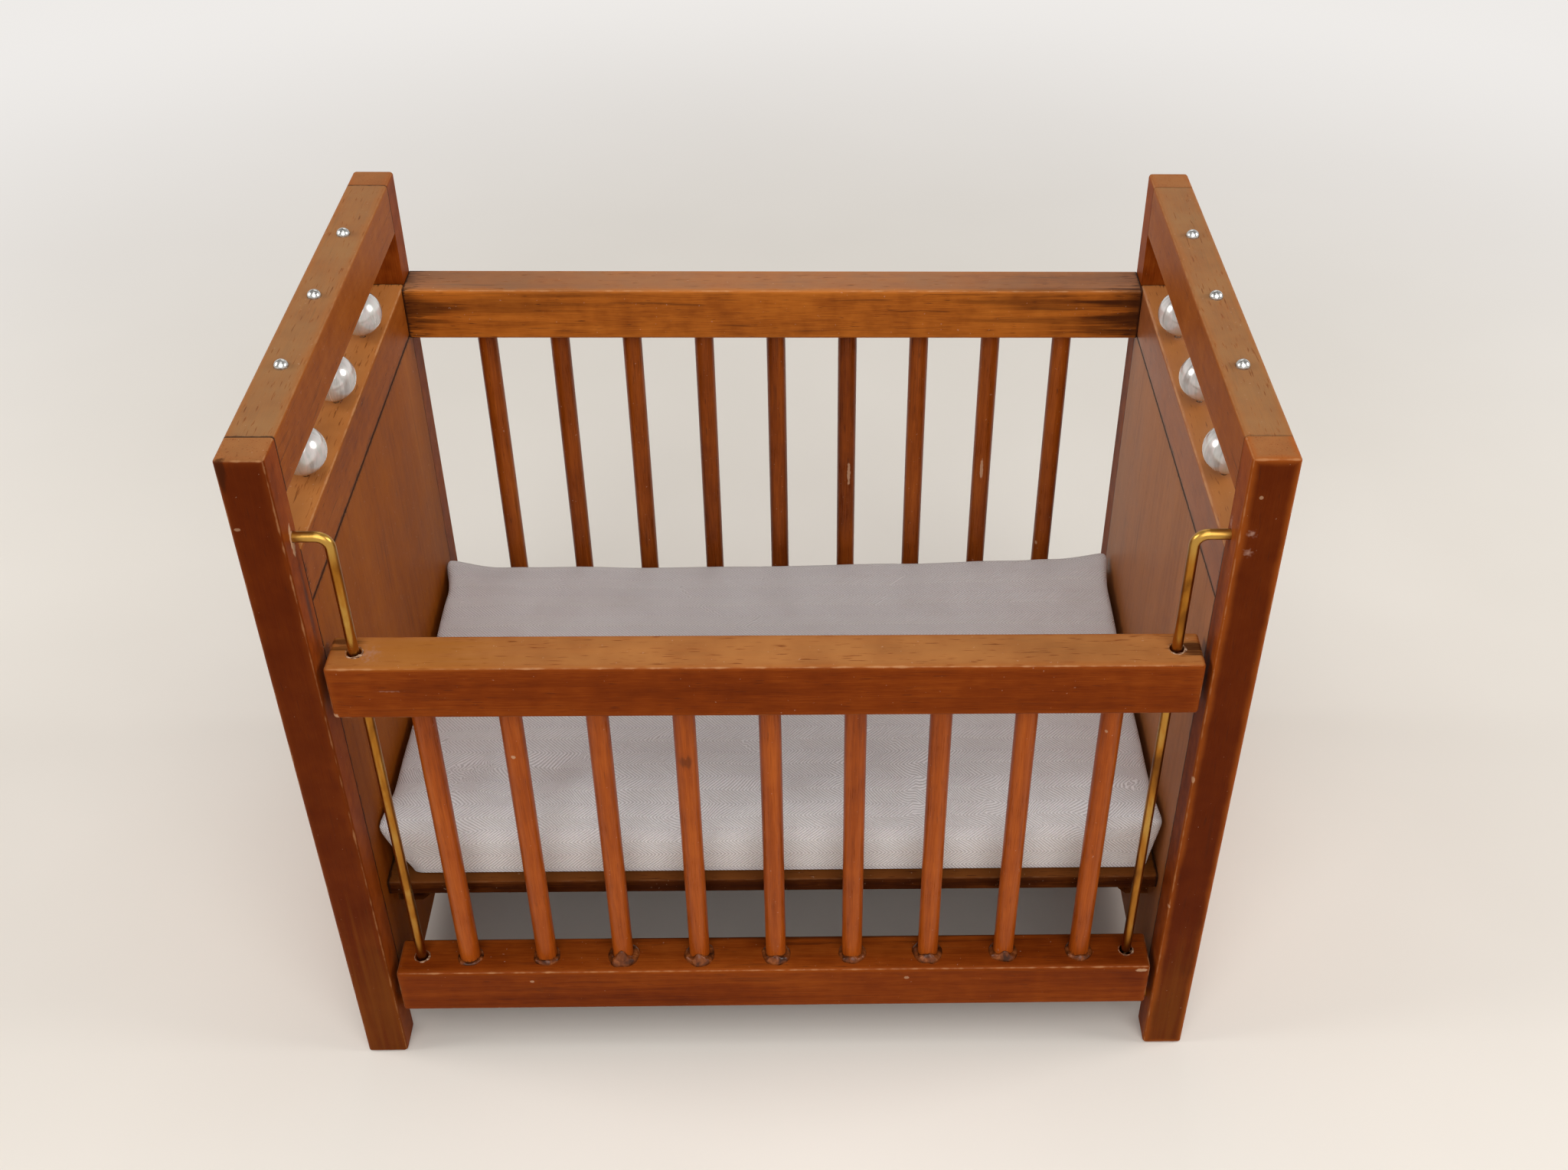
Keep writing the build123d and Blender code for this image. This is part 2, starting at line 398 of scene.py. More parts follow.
DOWEL_TONE = WoodTone(
    (0.16, 0.025, 0.002), (0.37, 0.074, 0.006), (0.55, 0.132, 0.015),
    streaks=0.26, flecks=0.3, roughness=0.30, gloss=0.16,
)
BACK_DOWEL_TONE = WoodTone(
    (0.10, 0.016, 0.001), (0.26, 0.055, 0.005), (0.44, 0.108, 0.012),
    streaks=0.26, flecks=0.5, roughness=0.30, gloss=0.16,
)
BOARD_TONE = WoodTone(
    (0.014, 0.002, 0.001), (0.040, 0.008, 0.001), (0.15, 0.040, 0.006),
    streaks=0.16, flecks=0.7, gloss=0.03,
)

# Painted light and sheen: the lighter colours that the top faces are mixed towards
POST_TOP_LIGHT: Colour = (0.36, 0.165, 0.058)
BAR_TOP_LIGHT: Colour = (0.31, 0.175, 0.074)
MIDDLE_TOP_LIGHT: Colour = (0.50, 0.195, 0.052)
GATE_TOP_LIGHT: Colour = (0.52, 0.225, 0.066)
BACK_TOP_LIGHT: Colour = (0.25, 0.140, 0.080)
BOARD_TOP_LIGHT: Colour = (0.17, 0.055, 0.011)
EDGE_AMBER: Colour = (0.60, 0.30, 0.13)
DUST: Colour = (0.66, 0.46, 0.33)
GLUE_BLACK: Colour = (0.016, 0.006, 0.004)
PORE_BROWN: Colour = (0.045, 0.012, 0.005)

# Each band runs from the value at which a pattern is absent to the one at which it is full
PORE_BAND: Band = (0.65, 0.76)
OPEN_PORE_BAND: Band = (0.62, 0.72)
GLUED_PORE_BAND: Band = (0.54, 0.63)
VEIN_BAND: Band = (0.63, 0.74)
SPECK_BAND: Band = (0.755, 0.785)
SMEAR_BAND: Band = (0.45, 0.65)
DARKENED_BAND: Band = (0.55, 0.20)
# Where the painted light and sheen of a top fades out, by the distance below the top face
TOP_LIGHT_BAND: Band = (0.30, 0.02)
RUB_AND_HIGHLIGHT_BAND: Band = (1.55, 0.60)
WORN_BAND: Band = (0.47, 0.30)
SEAM_BAND: Band = (0.62, 0.36)


class GrainField:
    """The noise patterns that colour one piece of wood; scales are features per millimetre."""

    def __init__(self, graph: FinishGraph, grain: Grain, seed: int) -> None:
        """Lays the patterns along the grain.

        Args:
            graph: The finish's node tree.
            grain: The axis that the grain follows.
            seed: What gives the piece a place of its own in the patterns.
        """
        self.place = graph.place()
        self.axes = graph.axes(self.place)
        sawn = graph.vector("ADD", self.place, (seed * 37.0, seed * 17.3, seed * 29.1))
        self.board = graph.noise(sawn, self._stretch(grain, 0.018, 0.11), 3.0)
        self.streak = graph.noise(sawn, self._stretch(grain, 0.035, 1.0), 4.0, 0.3)
        self.fibre = graph.noise(sawn, self._stretch(grain, 0.30, 8.0), 2.0)
        self.pore = graph.noise(sawn, self._stretch(grain, 0.40, 4.5), 1.5)
        self.vein = graph.noise(sawn, self._stretch(grain, 0.07, 1.6), 2.0, 0.4)
        self.cloud = graph.noise(sawn, (0.16, 0.16, 0.16), 3.0)
        self.mottle = graph.noise(sawn, (0.50, 0.50, 0.50), 2.0)
        self.ragged = graph.noise(sawn, (1.7, 1.7, 1.7), 3.0)
        self.speck = graph.noise(sawn, (2.3, 2.3, 2.3), 1.0)

    @staticmethod
    def _stretch(grain: Grain, along: float, across: float) -> Triple:
        """Makes a noise scale that differs along the grain and across it.

        Args:
            grain: The axis that the grain follows.
            along: Features per millimetre along the grain.
            across: Features per millimetre across it.

        Returns:
            The scale on each axis.
        """
        scale = [across, across, across]
        scale[grain.value] = along
        return tuple(scale)


@dataclass(frozen=True)
class WoodFinish:
    """Stained, varnished wood of one piece: grain, pores, painted top light, edges lightened by wear and a
    painted highlight, glue seams and marks.
    """

    name: str
    tone: WoodTone
    grain: Grain
    low: Triple
    high: Triple
    seed: int
    glued: frozenset[Face] = frozenset()
    hidden: frozenset[Face] = frozenset()
    # Faces near which the colour is darkened, and how much
    deep: frozenset[Face] = frozenset()
    deepening: float = 0.85
    # Painted light and sheen on the top: its colour and its share
    fade: Colour | None = None
    fading: float = 0.6
    wear: float = 0.6
    # How much the edges are lightened: partly wear, partly a painted highlight
    rub: float = 0.3
    seam: float = 0.85
    bleed: float = 0.0
    dust: float = 0.25
    spots: tuple[Spot, ...] = ()

    def _gap(self, graph: Graph, figure: GrainField, face: Face) -> Socket:
        """Measures how far the surface lies from the plane of a face.

        Args:
            graph: The finish's node tree.
            figure: The patterns of the grain.
            face: The face.

        Returns:
            The distance in millimetres.
        """
        axis, is_high = face.value
        if is_high:
            return graph.math("SUBTRACT", self.high[axis], figure.axes[axis])
        return graph.math("SUBTRACT", figure.axes[axis], self.low[axis])

    def _nearest(self, graph: Graph, figure: GrainField, faces: Iterable[Face]) -> Any:
        """Measures how far the nearest of some faces is.

        Args:
            graph: The finish's node tree.
            figure: The patterns of the grain.
            faces: The faces.

        Returns:
            The distance in millimetres, or a large number if there are no faces.
        """
        nearest: Any = FAR
        for face in sorted(faces, key=lambda each: each.value):
            gap = self._gap(graph, figure, face)
            nearest = gap if nearest is FAR else graph.math("MINIMUM", nearest, gap)
        return nearest

    def _edge(self, graph: Graph, figure: GrainField) -> Socket:
        """Measures how far the nearest edge between two free faces is.

        Args:
            graph: The finish's node tree.
            figure: The patterns of the grain.

        Returns:
            The distance in millimetres: the middle one of those on the three axes.
        """
        free = [face for face in Face if face not in self.glued | self.hidden]
        x, y, z = (
            self._nearest(graph, figure, [face for face in free if face.value[0] == axis])
            for axis in range(3)
        )
        smaller = graph.math("MINIMUM", x, y)
        larger = graph.math("MAXIMUM", x, y)
        return graph.math("MAXIMUM", smaller, graph.math("MINIMUM", larger, z))

    def _stained(self, graph: Graph, figure: GrainField, pores: Socket) -> Socket:
        """Stains the wood, and darkens it near the faces listed as darkened.

        Args:
            graph: The finish's node tree.
            figure: The patterns of the grain.
            pores: Where the open pores are.

        Returns:
            The stain's colour with its grain.
        """
        tone = self.tone
        shade = graph.blend([
            (figure.board, 0.34), (figure.cloud, 0.16), (figure.fibre, 0.22),
            (figure.streak, tone.streaks), (figure.mottle, 0.28 - tone.streaks),
        ])
        stain = graph.ramp(shade, [(0.34, tone.dark), (0.50, tone.mid), (0.66, tone.light)])
        if self.deep:
            near = graph.step(self._nearest(graph, figure, self.deep), *DARKENED_BAND)
            patchy = graph.math("MULTIPLY_ADD", figure.cloud, 0.6, self.deepening - 0.3)
            stain = graph.mix(graph.math("MULTIPLY", near, patchy), stain, tone.dark)
        veins = graph.math("MULTIPLY", graph.step(figure.vein, *VEIN_BAND), 0.6 * tone.flecks)
        return graph.mix(graph.math("MAXIMUM", pores, veins), stain, PORE_BROWN)

    def _faded(self, graph: Graph, figure: GrainField, stain: Socket) -> Socket:
        """Lightens the top with painted light and sheen.

        Args:
            graph: The finish's node tree.
            figure: The patterns of the grain.
            stain: The colour so far.

        Returns:
            The faded colour.
        """
        if self.fade is None:
            return stain
        # Painted light and sheen on the top face, patchy, and kept out of the open pores
        brightened = graph.step(self._gap(graph, figure, Face.TOP), *TOP_LIGHT_BAND)
        patchy = graph.math("MULTIPLY_ADD", figure.cloud, 0.6, self.fading - 0.3)
        pores = graph.step(figure.pore, *OPEN_PORE_BAND)
        open_grain = graph.math("SUBTRACT", 1.0, graph.math("MULTIPLY", pores, 0.7))
        share = graph.math("MULTIPLY", brightened, graph.math("MULTIPLY", patchy, open_grain))
        return graph.mix(share, stain, self.fade)

    def _worn(self, graph: Graph, figure: GrainField, stain: Socket) -> Socket:
        """Lightens the edges, partly as worn stain and partly as a painted highlight, and wears them through
        along a thin line.

        Args:
            graph: The finish's node tree.
            figure: The patterns of the grain.
            stain: The colour so far.

        Returns:
            The worn colour.
        """
        corner = self._edge(graph, figure)
        # Edges lightened towards the light tone: worn stain and a painted highlight
        rubbed_and_lit = graph.step(graph.math("MULTIPLY_ADD", figure.cloud, 0.9, corner), *RUB_AND_HIGHLIGHT_BAND)
        stain = graph.mix(graph.math("MULTIPLY", rubbed_and_lit, self.rub), stain, self.tone.light)
        line = graph.math("MULTIPLY_ADD", figure.mottle, 0.45, corner)
        through = graph.math("MULTIPLY", graph.step(line, *WORN_BAND), self.wear)
        return graph.mix(through, stain, EDGE_AMBER)

    def _seamed(self, graph: Graph, figure: GrainField, stain: Socket) -> Socket:
        """Draws black glue at the glued faces, with specks of it bleeding into the grain.

        Args:
            graph: The finish's node tree.
            figure: The patterns of the grain.
            stain: The colour so far.

        Returns:
            The colour with its seams.
        """
        if not self.glued:
            return stain
        seam = self._nearest(graph, figure, self.glued)
        line = graph.step(graph.math("MULTIPLY_ADD", figure.ragged, 0.40, seam), *SEAM_BAND)
        stain = graph.mix(graph.math("MULTIPLY", line, self.seam), stain, GLUE_BLACK)
        if self.bleed:
            near = graph.step(seam, self.bleed, 0.0)
            dashes = graph.math("MULTIPLY", near, graph.step(figure.pore, *GLUED_PORE_BAND))
            close = graph.step(seam, 0.5 * self.bleed, 0.0)
            smear = graph.math("MULTIPLY", graph.step(figure.cloud, *SMEAR_BAND), close)
            dark = graph.math("MAXIMUM", dashes, graph.math("MULTIPLY", smear, 0.7))
            stain = graph.mix(graph.math("MULTIPLY", dark, 0.85), stain, GLUE_BLACK)
        return stain

    def _marked(self, graph: Graph, figure: GrainField, stain: Socket) -> Socket:
        """Adds this piece's marks, painted sheen, light and shadow among them, and a few specks of dust.

        Args:
            graph: The finish's node tree.
            figure: The patterns of the grain.
            stain: The colour so far.

        Returns:
            The marked colour.
        """
        for spot in self.spots:
            colour, rim, pattern, weight = spot.mark.value
            offset = graph.vector("DIVIDE", graph.vector("SUBTRACT", figure.place, spot.middle), spot.reach)
            away = graph.vector("LENGTH", offset)
            broken = graph.math("MULTIPLY_ADD", getattr(figure, pattern), weight, away)
            outline = 1.05 + 0.5 * weight
            share = graph.math("MULTIPLY", graph.step(broken, outline, outline - rim), spot.strength)
            stain = graph.mix(share, stain, colour)
        specks = graph.math("MULTIPLY", graph.step(figure.speck, *SPECK_BAND), self.dust)
        return graph.mix(specks, stain, DUST)

    def material(self) -> bpy.types.Material:
        """Makes the finish.

        Returns:
            The finished material.
        """
        graph = FinishGraph(self.name)
        figure = GrainField(graph, self.grain, self.seed)
        tone = self.tone
        pores = graph.math("MULTIPLY", graph.step(figure.pore, *PORE_BAND), tone.flecks)
        colour = self._stained(graph, figure, pores)
        for layer in (self._faded, self._worn, self._seamed, self._marked):
            colour = layer(graph, figure, colour)
        sheen = graph.blend([(figure.cloud, 0.5), (figure.fibre, 0.5)])
        rough = graph.math("MULTIPLY_ADD", sheen, 0.22, tone.roughness - 0.11)
        graph.surface(Base_Color=colour, Roughness=rough, Specular_IOR_Level=tone.gloss)
        relief = graph.blend([(figure.fibre, 0.5), (pores, -0.9), (figure.ragged, 0.4), (figure.streak, 0.4)])
        graph.bump(relief, 0.05, 0.40)
        return graph.material


@dataclass(frozen=True)
class WireFinish:
    """Drawn brass wire, tarnished amber along its run and brighter from the bend's height up."""

    bend: float
    tarnish: Colour = (0.18, 0.062, 0.008)
    amber: Colour = (0.39, 0.155, 0.018)
    bright: Colour = (0.52, 0.31, 0.070)

    def material(self) -> bpy.types.Material:
        """Makes the finish.

        Returns:
            The finished material.
        """
        graph = FinishGraph("drawn_brass_wire")
        place = graph.place()
        patch = graph.noise(place, (0.35, 0.35, 0.12), 4.0, 0.6)
        lines = graph.noise(place, (9.0, 9.0, 0.25), 2.0)
        run = graph.ramp(patch, [(0.34, self.tarnish), (0.52, self.amber), (0.74, self.bright)])
        # The rod is made brighter from the bend's height up
        brightened = graph.step(graph.axes(place)[2], self.bend - 3.0, self.bend)
        colour = graph.mix(graph.math("MULTIPLY", brightened, 0.7), run, self.bright)
        rough = graph.math("MULTIPLY_ADD", patch, -0.25, 0.44)
        graph.surface(Base_Color=colour, Metallic=1.0, Roughness=rough)
        graph.bump(lines, 0.02, 0.35)
        return graph.material


@dataclass(frozen=True)
class SteelFinish:
    """The plated steel of the pins: bright, lightly scuffed."""

    worn: Colour = (0.36, 0.36, 0.34)
    bright: Colour = (0.62, 0.62, 0.60)

    def material(self) -> bpy.types.Material:
        """Makes the finish.

        Returns:
            The finished material.
        """
        graph = FinishGraph("bright_steel_pin")
        scuff = graph.noise(graph.place(), (3.5, 3.5, 3.5), 4.0, 0.8)
        colour = graph.ramp(scuff, [(0.35, self.worn), (0.60, self.bright)])
        rough = graph.math("MULTIPLY_ADD", scuff, 0.30, 0.06)
        graph.surface(Base_Color=colour, Metallic=1.0, Roughness=rough)
        graph.bump(scuff, 0.02, 0.2)
        return graph.material


@dataclass(frozen=True)
class PearlFinish:
    """The nacre of one bead: silvery, with faint pink and green streaks that run from pole to pole."""

    name: str
    middle: Triple
    seed: int

    def material(self) -> bpy.types.Material:
        """Makes the finish.

        Returns:
            The finished material.
        """
        graph = FinishGraph(self.name)
        offset = graph.vector("SUBTRACT", graph.place(), self.middle)
        round_it = graph.vector("NORMALIZE", graph.vector("MULTIPLY", offset, (1.0, 1.0, 0.0)))
        height = graph.vector("MULTIPLY", offset, (0.0, 0.0, 0.16))
        meridian = graph.vector("ADD", graph.vector("ADD", round_it, height), (0.0, 0.0, 9.0 * self.seed))
        streak = graph.noise(meridian, (3.2, 3.2, 1.0), 3.0, 0.6)
        cloud = graph.noise(offset, (0.32, 0.32, 0.32), 2.0, 1.2)
        nacre = [
            (0.36, (0.50, 0.48, 0.45)),
            (0.44, (0.66, 0.66, 0.63)),
            (0.50, (0.78, 0.72, 0.70)),
            (0.57, (0.66, 0.69, 0.65)),
            (0.66, (0.87, 0.85, 0.82)),
        ]
        colour = graph.ramp(graph.blend([(streak, 0.75), (cloud, 0.25)]), nacre)
        rough = graph.math("MULTIPLY_ADD", streak, 0.25, 0.10)
        graph.surface(Base_Color=colour, Metallic=0.25, Roughness=rough, Coat_Weight=1.0, Coat_Roughness=0.03)
        graph.bump(streak, 0.03, 0.12)
        return graph.material


@dataclass(frozen=True)
class GlueFinish:
    """Glue that has set over the stain: dark, wet-looking, with a paler skin where it is thin."""

    thick: Colour = (0.050, 0.013, 0.004)
    skin: Colour = (0.17, 0.043, 0.010)
    thin: Colour = (0.32, 0.095, 0.024)

    def material(self) -> bpy.types.Material:
        """Makes the finish.

        Returns:
            The finished material.
        """
        graph = FinishGraph("set_glue")
        cloud = graph.noise(graph.place(), (0.8, 0.8, 0.8), 3.0, 0.5)
        colour = graph.ramp(cloud, [(0.35, self.thick), (0.52, self.skin), (0.70, self.thin)])
        rough = graph.math("MULTIPLY_ADD", cloud, 0.25, 0.12)
        graph.surface(Base_Color=colour, Roughness=rough, Specular_IOR_Level=0.25)
        graph.bump(cloud, 0.05, 0.2)
        return graph.material


@dataclass(frozen=True)
class FibreFinish:
    """Bare wood torn up round a drilled hole."""

    stained: Colour = (0.07, 0.018, 0.006)
    torn: Colour = (0.25, 0.11, 0.045)
    bare: Colour = (0.56, 0.39, 0.26)

    def material(self) -> bpy.types.Material:
        """Makes the finish.

        Returns:
            The finished material.
        """
        graph = FinishGraph("torn_wood_fibre")
        strand = graph.noise(graph.place(), (1.2, 5.0, 5.0), 3.0, 0.4)
        colour = graph.ramp(strand, [(0.38, self.stained), (0.50, self.torn), (0.62, self.bare)])
        graph.surface(Base_Color=colour, Roughness=0.8)
        graph.bump(strand, 0.06, 0.6)
        return graph.material


@dataclass(frozen=True)
class TwillFinish:
    """White herringbone twill, on the flat cloth's own coordinates; sizes in millimetres.

    Painted shade greys it towards the back: white up to the nearer of its two places along the cloth, shaded
    from the farther; random grey patches are added too.
    """

    layout: str = "weave"
    band: float = 2.5
    rib: float = 0.50
    yarn: float = 0.27
    pale: Colour = (0.92, 0.91, 0.92)
    shade: Colour = (0.56, 0.54, 0.54)
    # The grey of the painted shade towards the back, also used for the random grey patches
    shade_and_wear_grey: Colour = (0.58, 0.53, 0.52)
    # Where the painted shade starts and where it is full, along the cloth in millimetres
    shade_start: float = -30.0
    shade_full: float = 14.0

    def material(self) -> bpy.types.Material:
        """Makes the finish.

        Returns:
            The finished material.
        """
        graph = FinishGraph("herringbone_twill")
        layout = graph.add("ShaderNodeUVMap", uv_map=self.layout)
        flat = graph.vector("DIVIDE", layout.outputs["UV"], (MM, MM, MM))
        across, along, _ = graph.axes(flat)
        drift = graph.noise(flat, (0.25, 0.25, 0.25), 2.0)
        zigzag = graph.math("PINGPONG", along, self.band)
        slant = graph.math("ADD", across, graph.math("MULTIPLY_ADD", drift, 0.35, zigzag))
        ribs = graph.math("SINE", graph.math("MULTIPLY", slant, math.tau / self.rib))
        picks = graph.math("SINE", graph.math("MULTIPLY", along, math.tau / self.yarn))
        fuzz = graph.noise(flat, (2.6, 2.6, 2.6), 3.0)
        worn = graph.noise(flat, (0.09, 0.09, 0.09), 3.0)
        # Painted shade greying the cloth towards the back, plus random grey patches
        painted_back_shade = graph.step(along, self.shade_start, self.shade_full)
        shade_and_wear = graph.blend([(painted_back_shade, 0.52), (graph.step(worn, 0.45, 0.75), 0.22)])
        height = graph.blend([(ribs, 0.34), (picks, 0.05), (fuzz, 0.5)])
        turned = graph.step(graph.math("SINE", graph.math("MULTIPLY", along, math.pi / self.band)), -0.2, 0.2)
        tint = graph.mix(graph.step(height, -0.22, 0.56), self.shade, self.pale)
        tint = graph.mix(graph.math("MULTIPLY", turned, 0.09), tint, self.shade)
        colour = graph.mix(shade_and_wear, tint, self.shade_and_wear_grey)
        graph.surface(Base_Color=colour, Roughness=0.82, Sheen_Weight=0.25, Sheen_Roughness=0.4)
        graph.bump(height, 0.12, 0.7)
        return graph.material


@dataclass(frozen=True)
class FloorFinish:
    """The plain pale floor; it throws back a warmer, dimmer light than the camera sees.

    Between the two distances, in millimetres, it runs out into the backdrop.
    """

    pale: Colour = (0.84, 0.79, 0.72)
    mottled: Colour = (0.80, 0.75, 0.68)
    thrown: Colour = (0.55, 0.41, 0.28)
    backdrop: Colour = (0.86, 0.835, 0.81)
    near: float = 130.0
    far: float = 430.0

    def material(self) -> bpy.types.Material:
        """Makes the finish.

        Returns:
            The finished material.
        """
        graph = FinishGraph("pale_floor")
        mottle = graph.noise(graph.place(), (0.01, 0.01, 0.01), 3.0)
        plain = graph.ramp(mottle, [(0.35, self.mottled), (0.65, self.pale)])
        seen = graph.seen()
        away = graph.step(graph.vector("LENGTH", graph.place()), self.near, self.far)
        lit = graph.mix(away, plain, (0.0, 0.0, 0.0))
        graph.surface(Base_Color=graph.mix(seen, self.thrown, lit), Roughness=0.8, Specular_IOR_Level=0.0)
        graph.surface(Emission_Color=self.backdrop, Emission_Strength=graph.math("MULTIPLY", seen, away))
        return graph.material


LEFT_POST_SPOTS = (
    Spot(Mark.BARE, (-57.6, -36.0, 92.9), (0.45, 0.4, 0.22), 0.45),
    # Painted sheen down the post's inner face
    Spot(Mark.RUB, (-53.0, -33.0, 79.5), (0.6, 0.8, 7.5), 0.7),
    Spot(Mark.DARK, (-57.8, -36.0, 101.0), (1.6, 0.6, 2.2), 0.7),
    Spot(Mark.BARE, (-53.0, -33.3, 89.3), (0.5, 0.6, 2.3), 0.9),
    # Painted bounce light from the floor on the lower front of the post
    Spot(Mark.AMBER, (-55.7, -36.0, 8.0), (6.0, 1.5, 24.0), 0.25),
)
RIGHT_POST_SPOTS = (
    Spot(Mark.SMUDGE, (54.4, -36.0, 92.0), (0.7, 0.5, 0.6), 0.8),
    Spot(Mark.SMUDGE, (54.4, -36.0, 89.3), (0.7, 0.5, 0.7), 0.7),
    Spot(Mark.BARE, (54.7, -36.0, 96.9), (0.25, 0.3, 0.25), 0.5),
    # Painted sheen down the post's inner face
    Spot(Mark.RUB, (53.0, -33.2, 71.0), (0.6, 1.0, 8.0), 0.75),
    Spot(Mark.BARE, (53.0, -35.9, 53.4), (0.35, 0.5, 0.6), 0.7),
    Spot(Mark.BARE, (53.0, -35.9, 29.5), (0.3, 0.5, 0.4), 0.6),
    Spot(Mark.SMUDGE, (53.0, -32.3, 90.8), (0.5, 0.6, 1.4), 0.8),
    # Painted bounce light from the floor on the lower front of the post
    Spot(Mark.AMBER, (55.7, -36.0, 6.0), (6.0, 1.5, 20.0), 0.22),
)
GATE_TOP_SPOTS = (
    Spot(Mark.BARE, (-52.2, -35.7, 64.8), (0.9, 0.7, 0.6), 0.8),
    Spot(Mark.BARE, (-50.4, -35.7, 64.5), (0.8, 0.5, 0.3), 0.7),
    Spot(Mark.SMUDGE, (-44.9, -35.8, 68.9), (1.8, 0.4, 0.15), 0.4),
    Spot(Mark.SMUDGE, (-47.2, -33.0, 72.4), (1.5, 1.7, 0.5), 0.75),
    Spot(Mark.AMBER, (-42.0, -32.7, 72.4), (15.0, 4.5, 0.6), 0.7),
    Spot(Mark.DARK, (51.0, -32.4, 72.4), (2.2, 1.8, 0.8), 0.85),
    Spot(Mark.DARK, (-50.8, -31.0, 72.4), (2.4, 1.3, 0.8), 0.75),
)
GATE_BOTTOM_SPOTS = (
    # Painted shadow along the back edge of the bottom rail's top, under the platform and mattress
    Spot(Mark.DARK, (0.0, -29.3, 16.9), (58.0, 1.5, 0.5), 0.7),
    Spot(Mark.BARE, (51.0, -35.8, 16.2), (0.9, 0.5, 0.35), 0.8),
    Spot(Mark.BARE, (-33.7, -35.8, 15.0), (0.3, 0.3, 0.25), 0.7),
    Spot(Mark.BARE, (18.2, -35.8, 15.1), (0.35, 0.3, 0.3), 0.6),
)
GATE_DOWEL_SPOTS = (
    Spot(Mark.BARE, (-31.9, -34.1, 56.3), (0.3, 0.5, 0.3), 0.8),
    Spot(Mark.DARK, (-10.6, -34.1, 55.2), (1.0, 0.8, 0.9), 0.5),
    Spot(Mark.BARE, (41.7, -34.1, 60.0), (0.25, 0.5, 0.25), 0.6),
)
BACK_DOWEL_SPOTS = (
    Spot(Mark.BARE, (11.0, 31.3, 54.0), (0.25, 0.6, 2.2), 0.7),
    Spot(Mark.BARE, (31.7, 31.3, 54.5), (0.25, 0.6, 2.0), 0.7),
    Spot(Mark.BARE, (41.3, 31.3, 40.1), (0.3, 0.6, 0.6), 0.8),
)
BACK_RAIL_SPOTS = (
    Spot(Mark.DARK, (-53.0, 29.6, 82.5), (6.0, 1.5, 6.0), 0.6),
    Spot(Mark.DARK, (-39.0, 29.6, 84.5), (12.0, 1.5, 3.0), 0.30),
    Spot(Mark.DARK, (53.0, 29.6, 82.5), (8.0, 1.5, 6.0), 0.8),
    Spot(Mark.DARK, (38.0, 29.6, 84.0), (14.0, 1.5, 3.4), 0.45),
)


def start_piece(name: str, primitive: Callable[..., Any], **settings: Any) -> bpy.types.Object:
    """Adds a primitive while nothing else is selected.

    Args:
        name: The piece's name.
        primitive: The operator that adds it.
        settings: The operator's own settings.

    Returns:
        The new object, which is active.
    """
    bpy.ops.object.select_all(action="DESELECT")
    primitive(**settings)
    piece = bpy.context.object
    piece.name = name
    piece.data.name = name
    return piece


def settle(piece: bpy.types.Object) -> None:
    """Moves a piece's place, turn and scale into its mesh.

    Args:
        piece: The piece to settle.
    """
    bpy.ops.object.select_all(action="DESELECT")
    piece.select_set(True)
    bpy.context.view_layer.objects.active = piece
    bpy.ops.object.transform_apply(location=True, rotation=True, scale=True)


def finish_piece(piece: bpy.types.Object, body: str, material: bpy.types.Material) -> None:
    """Dresses a new piece and lets it ride on a body.

    Args:
        piece: The new piece.
        body: The body that it moves with.
        material: Its finish.
    """
    piece.data.materials.clear()
    piece.data.materials.append(material)
    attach(piece, body)
    log.info("%s rides on %s", piece.name, body)


def dress_node(node: str, material: bpy.types.Material) -> None:
    """Gives a solid of the frame its finish.

    Args:
        node: The solid's name.
        material: Its finish.
    """
    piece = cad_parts[node]
    for slot in piece.material_slots:
        slot.material = material
    log.info("%s wears %s", node, material.name)


def box_mm(node: str) -> tuple[Triple, Triple]:
    """Returns the lowest and highest corner of a node in millimetres."""
    low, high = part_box(node)
    return tuple(low / MM), tuple(high / MM)


class SubAssembly(ABC):
    """A group of pieces that is made and dressed together."""

    def build(self) -> None:
        """Models the group's new pieces; where the solids have the shape, there are none."""

    @abstractmethod
    def dress(self) -> None:
        """Gives every piece of the group its finish."""


@dataclass(frozen=True)
class RingSpot:
    """Where a ragged ring lies and how large it is, in millimetres and degrees.

    The ring is thickest on the side called heavy; lean is the share of its thickness that the far side
    lacks, and climb is how far it creeps up what it surrounds on the heavy side.
    """

    name: str
    middle: Triple
    radius: float
    width: float
    height: float
    climb: float = 0.0
    heavy: float = -90.0
    lean: float = 0.0
    seed: int = 0


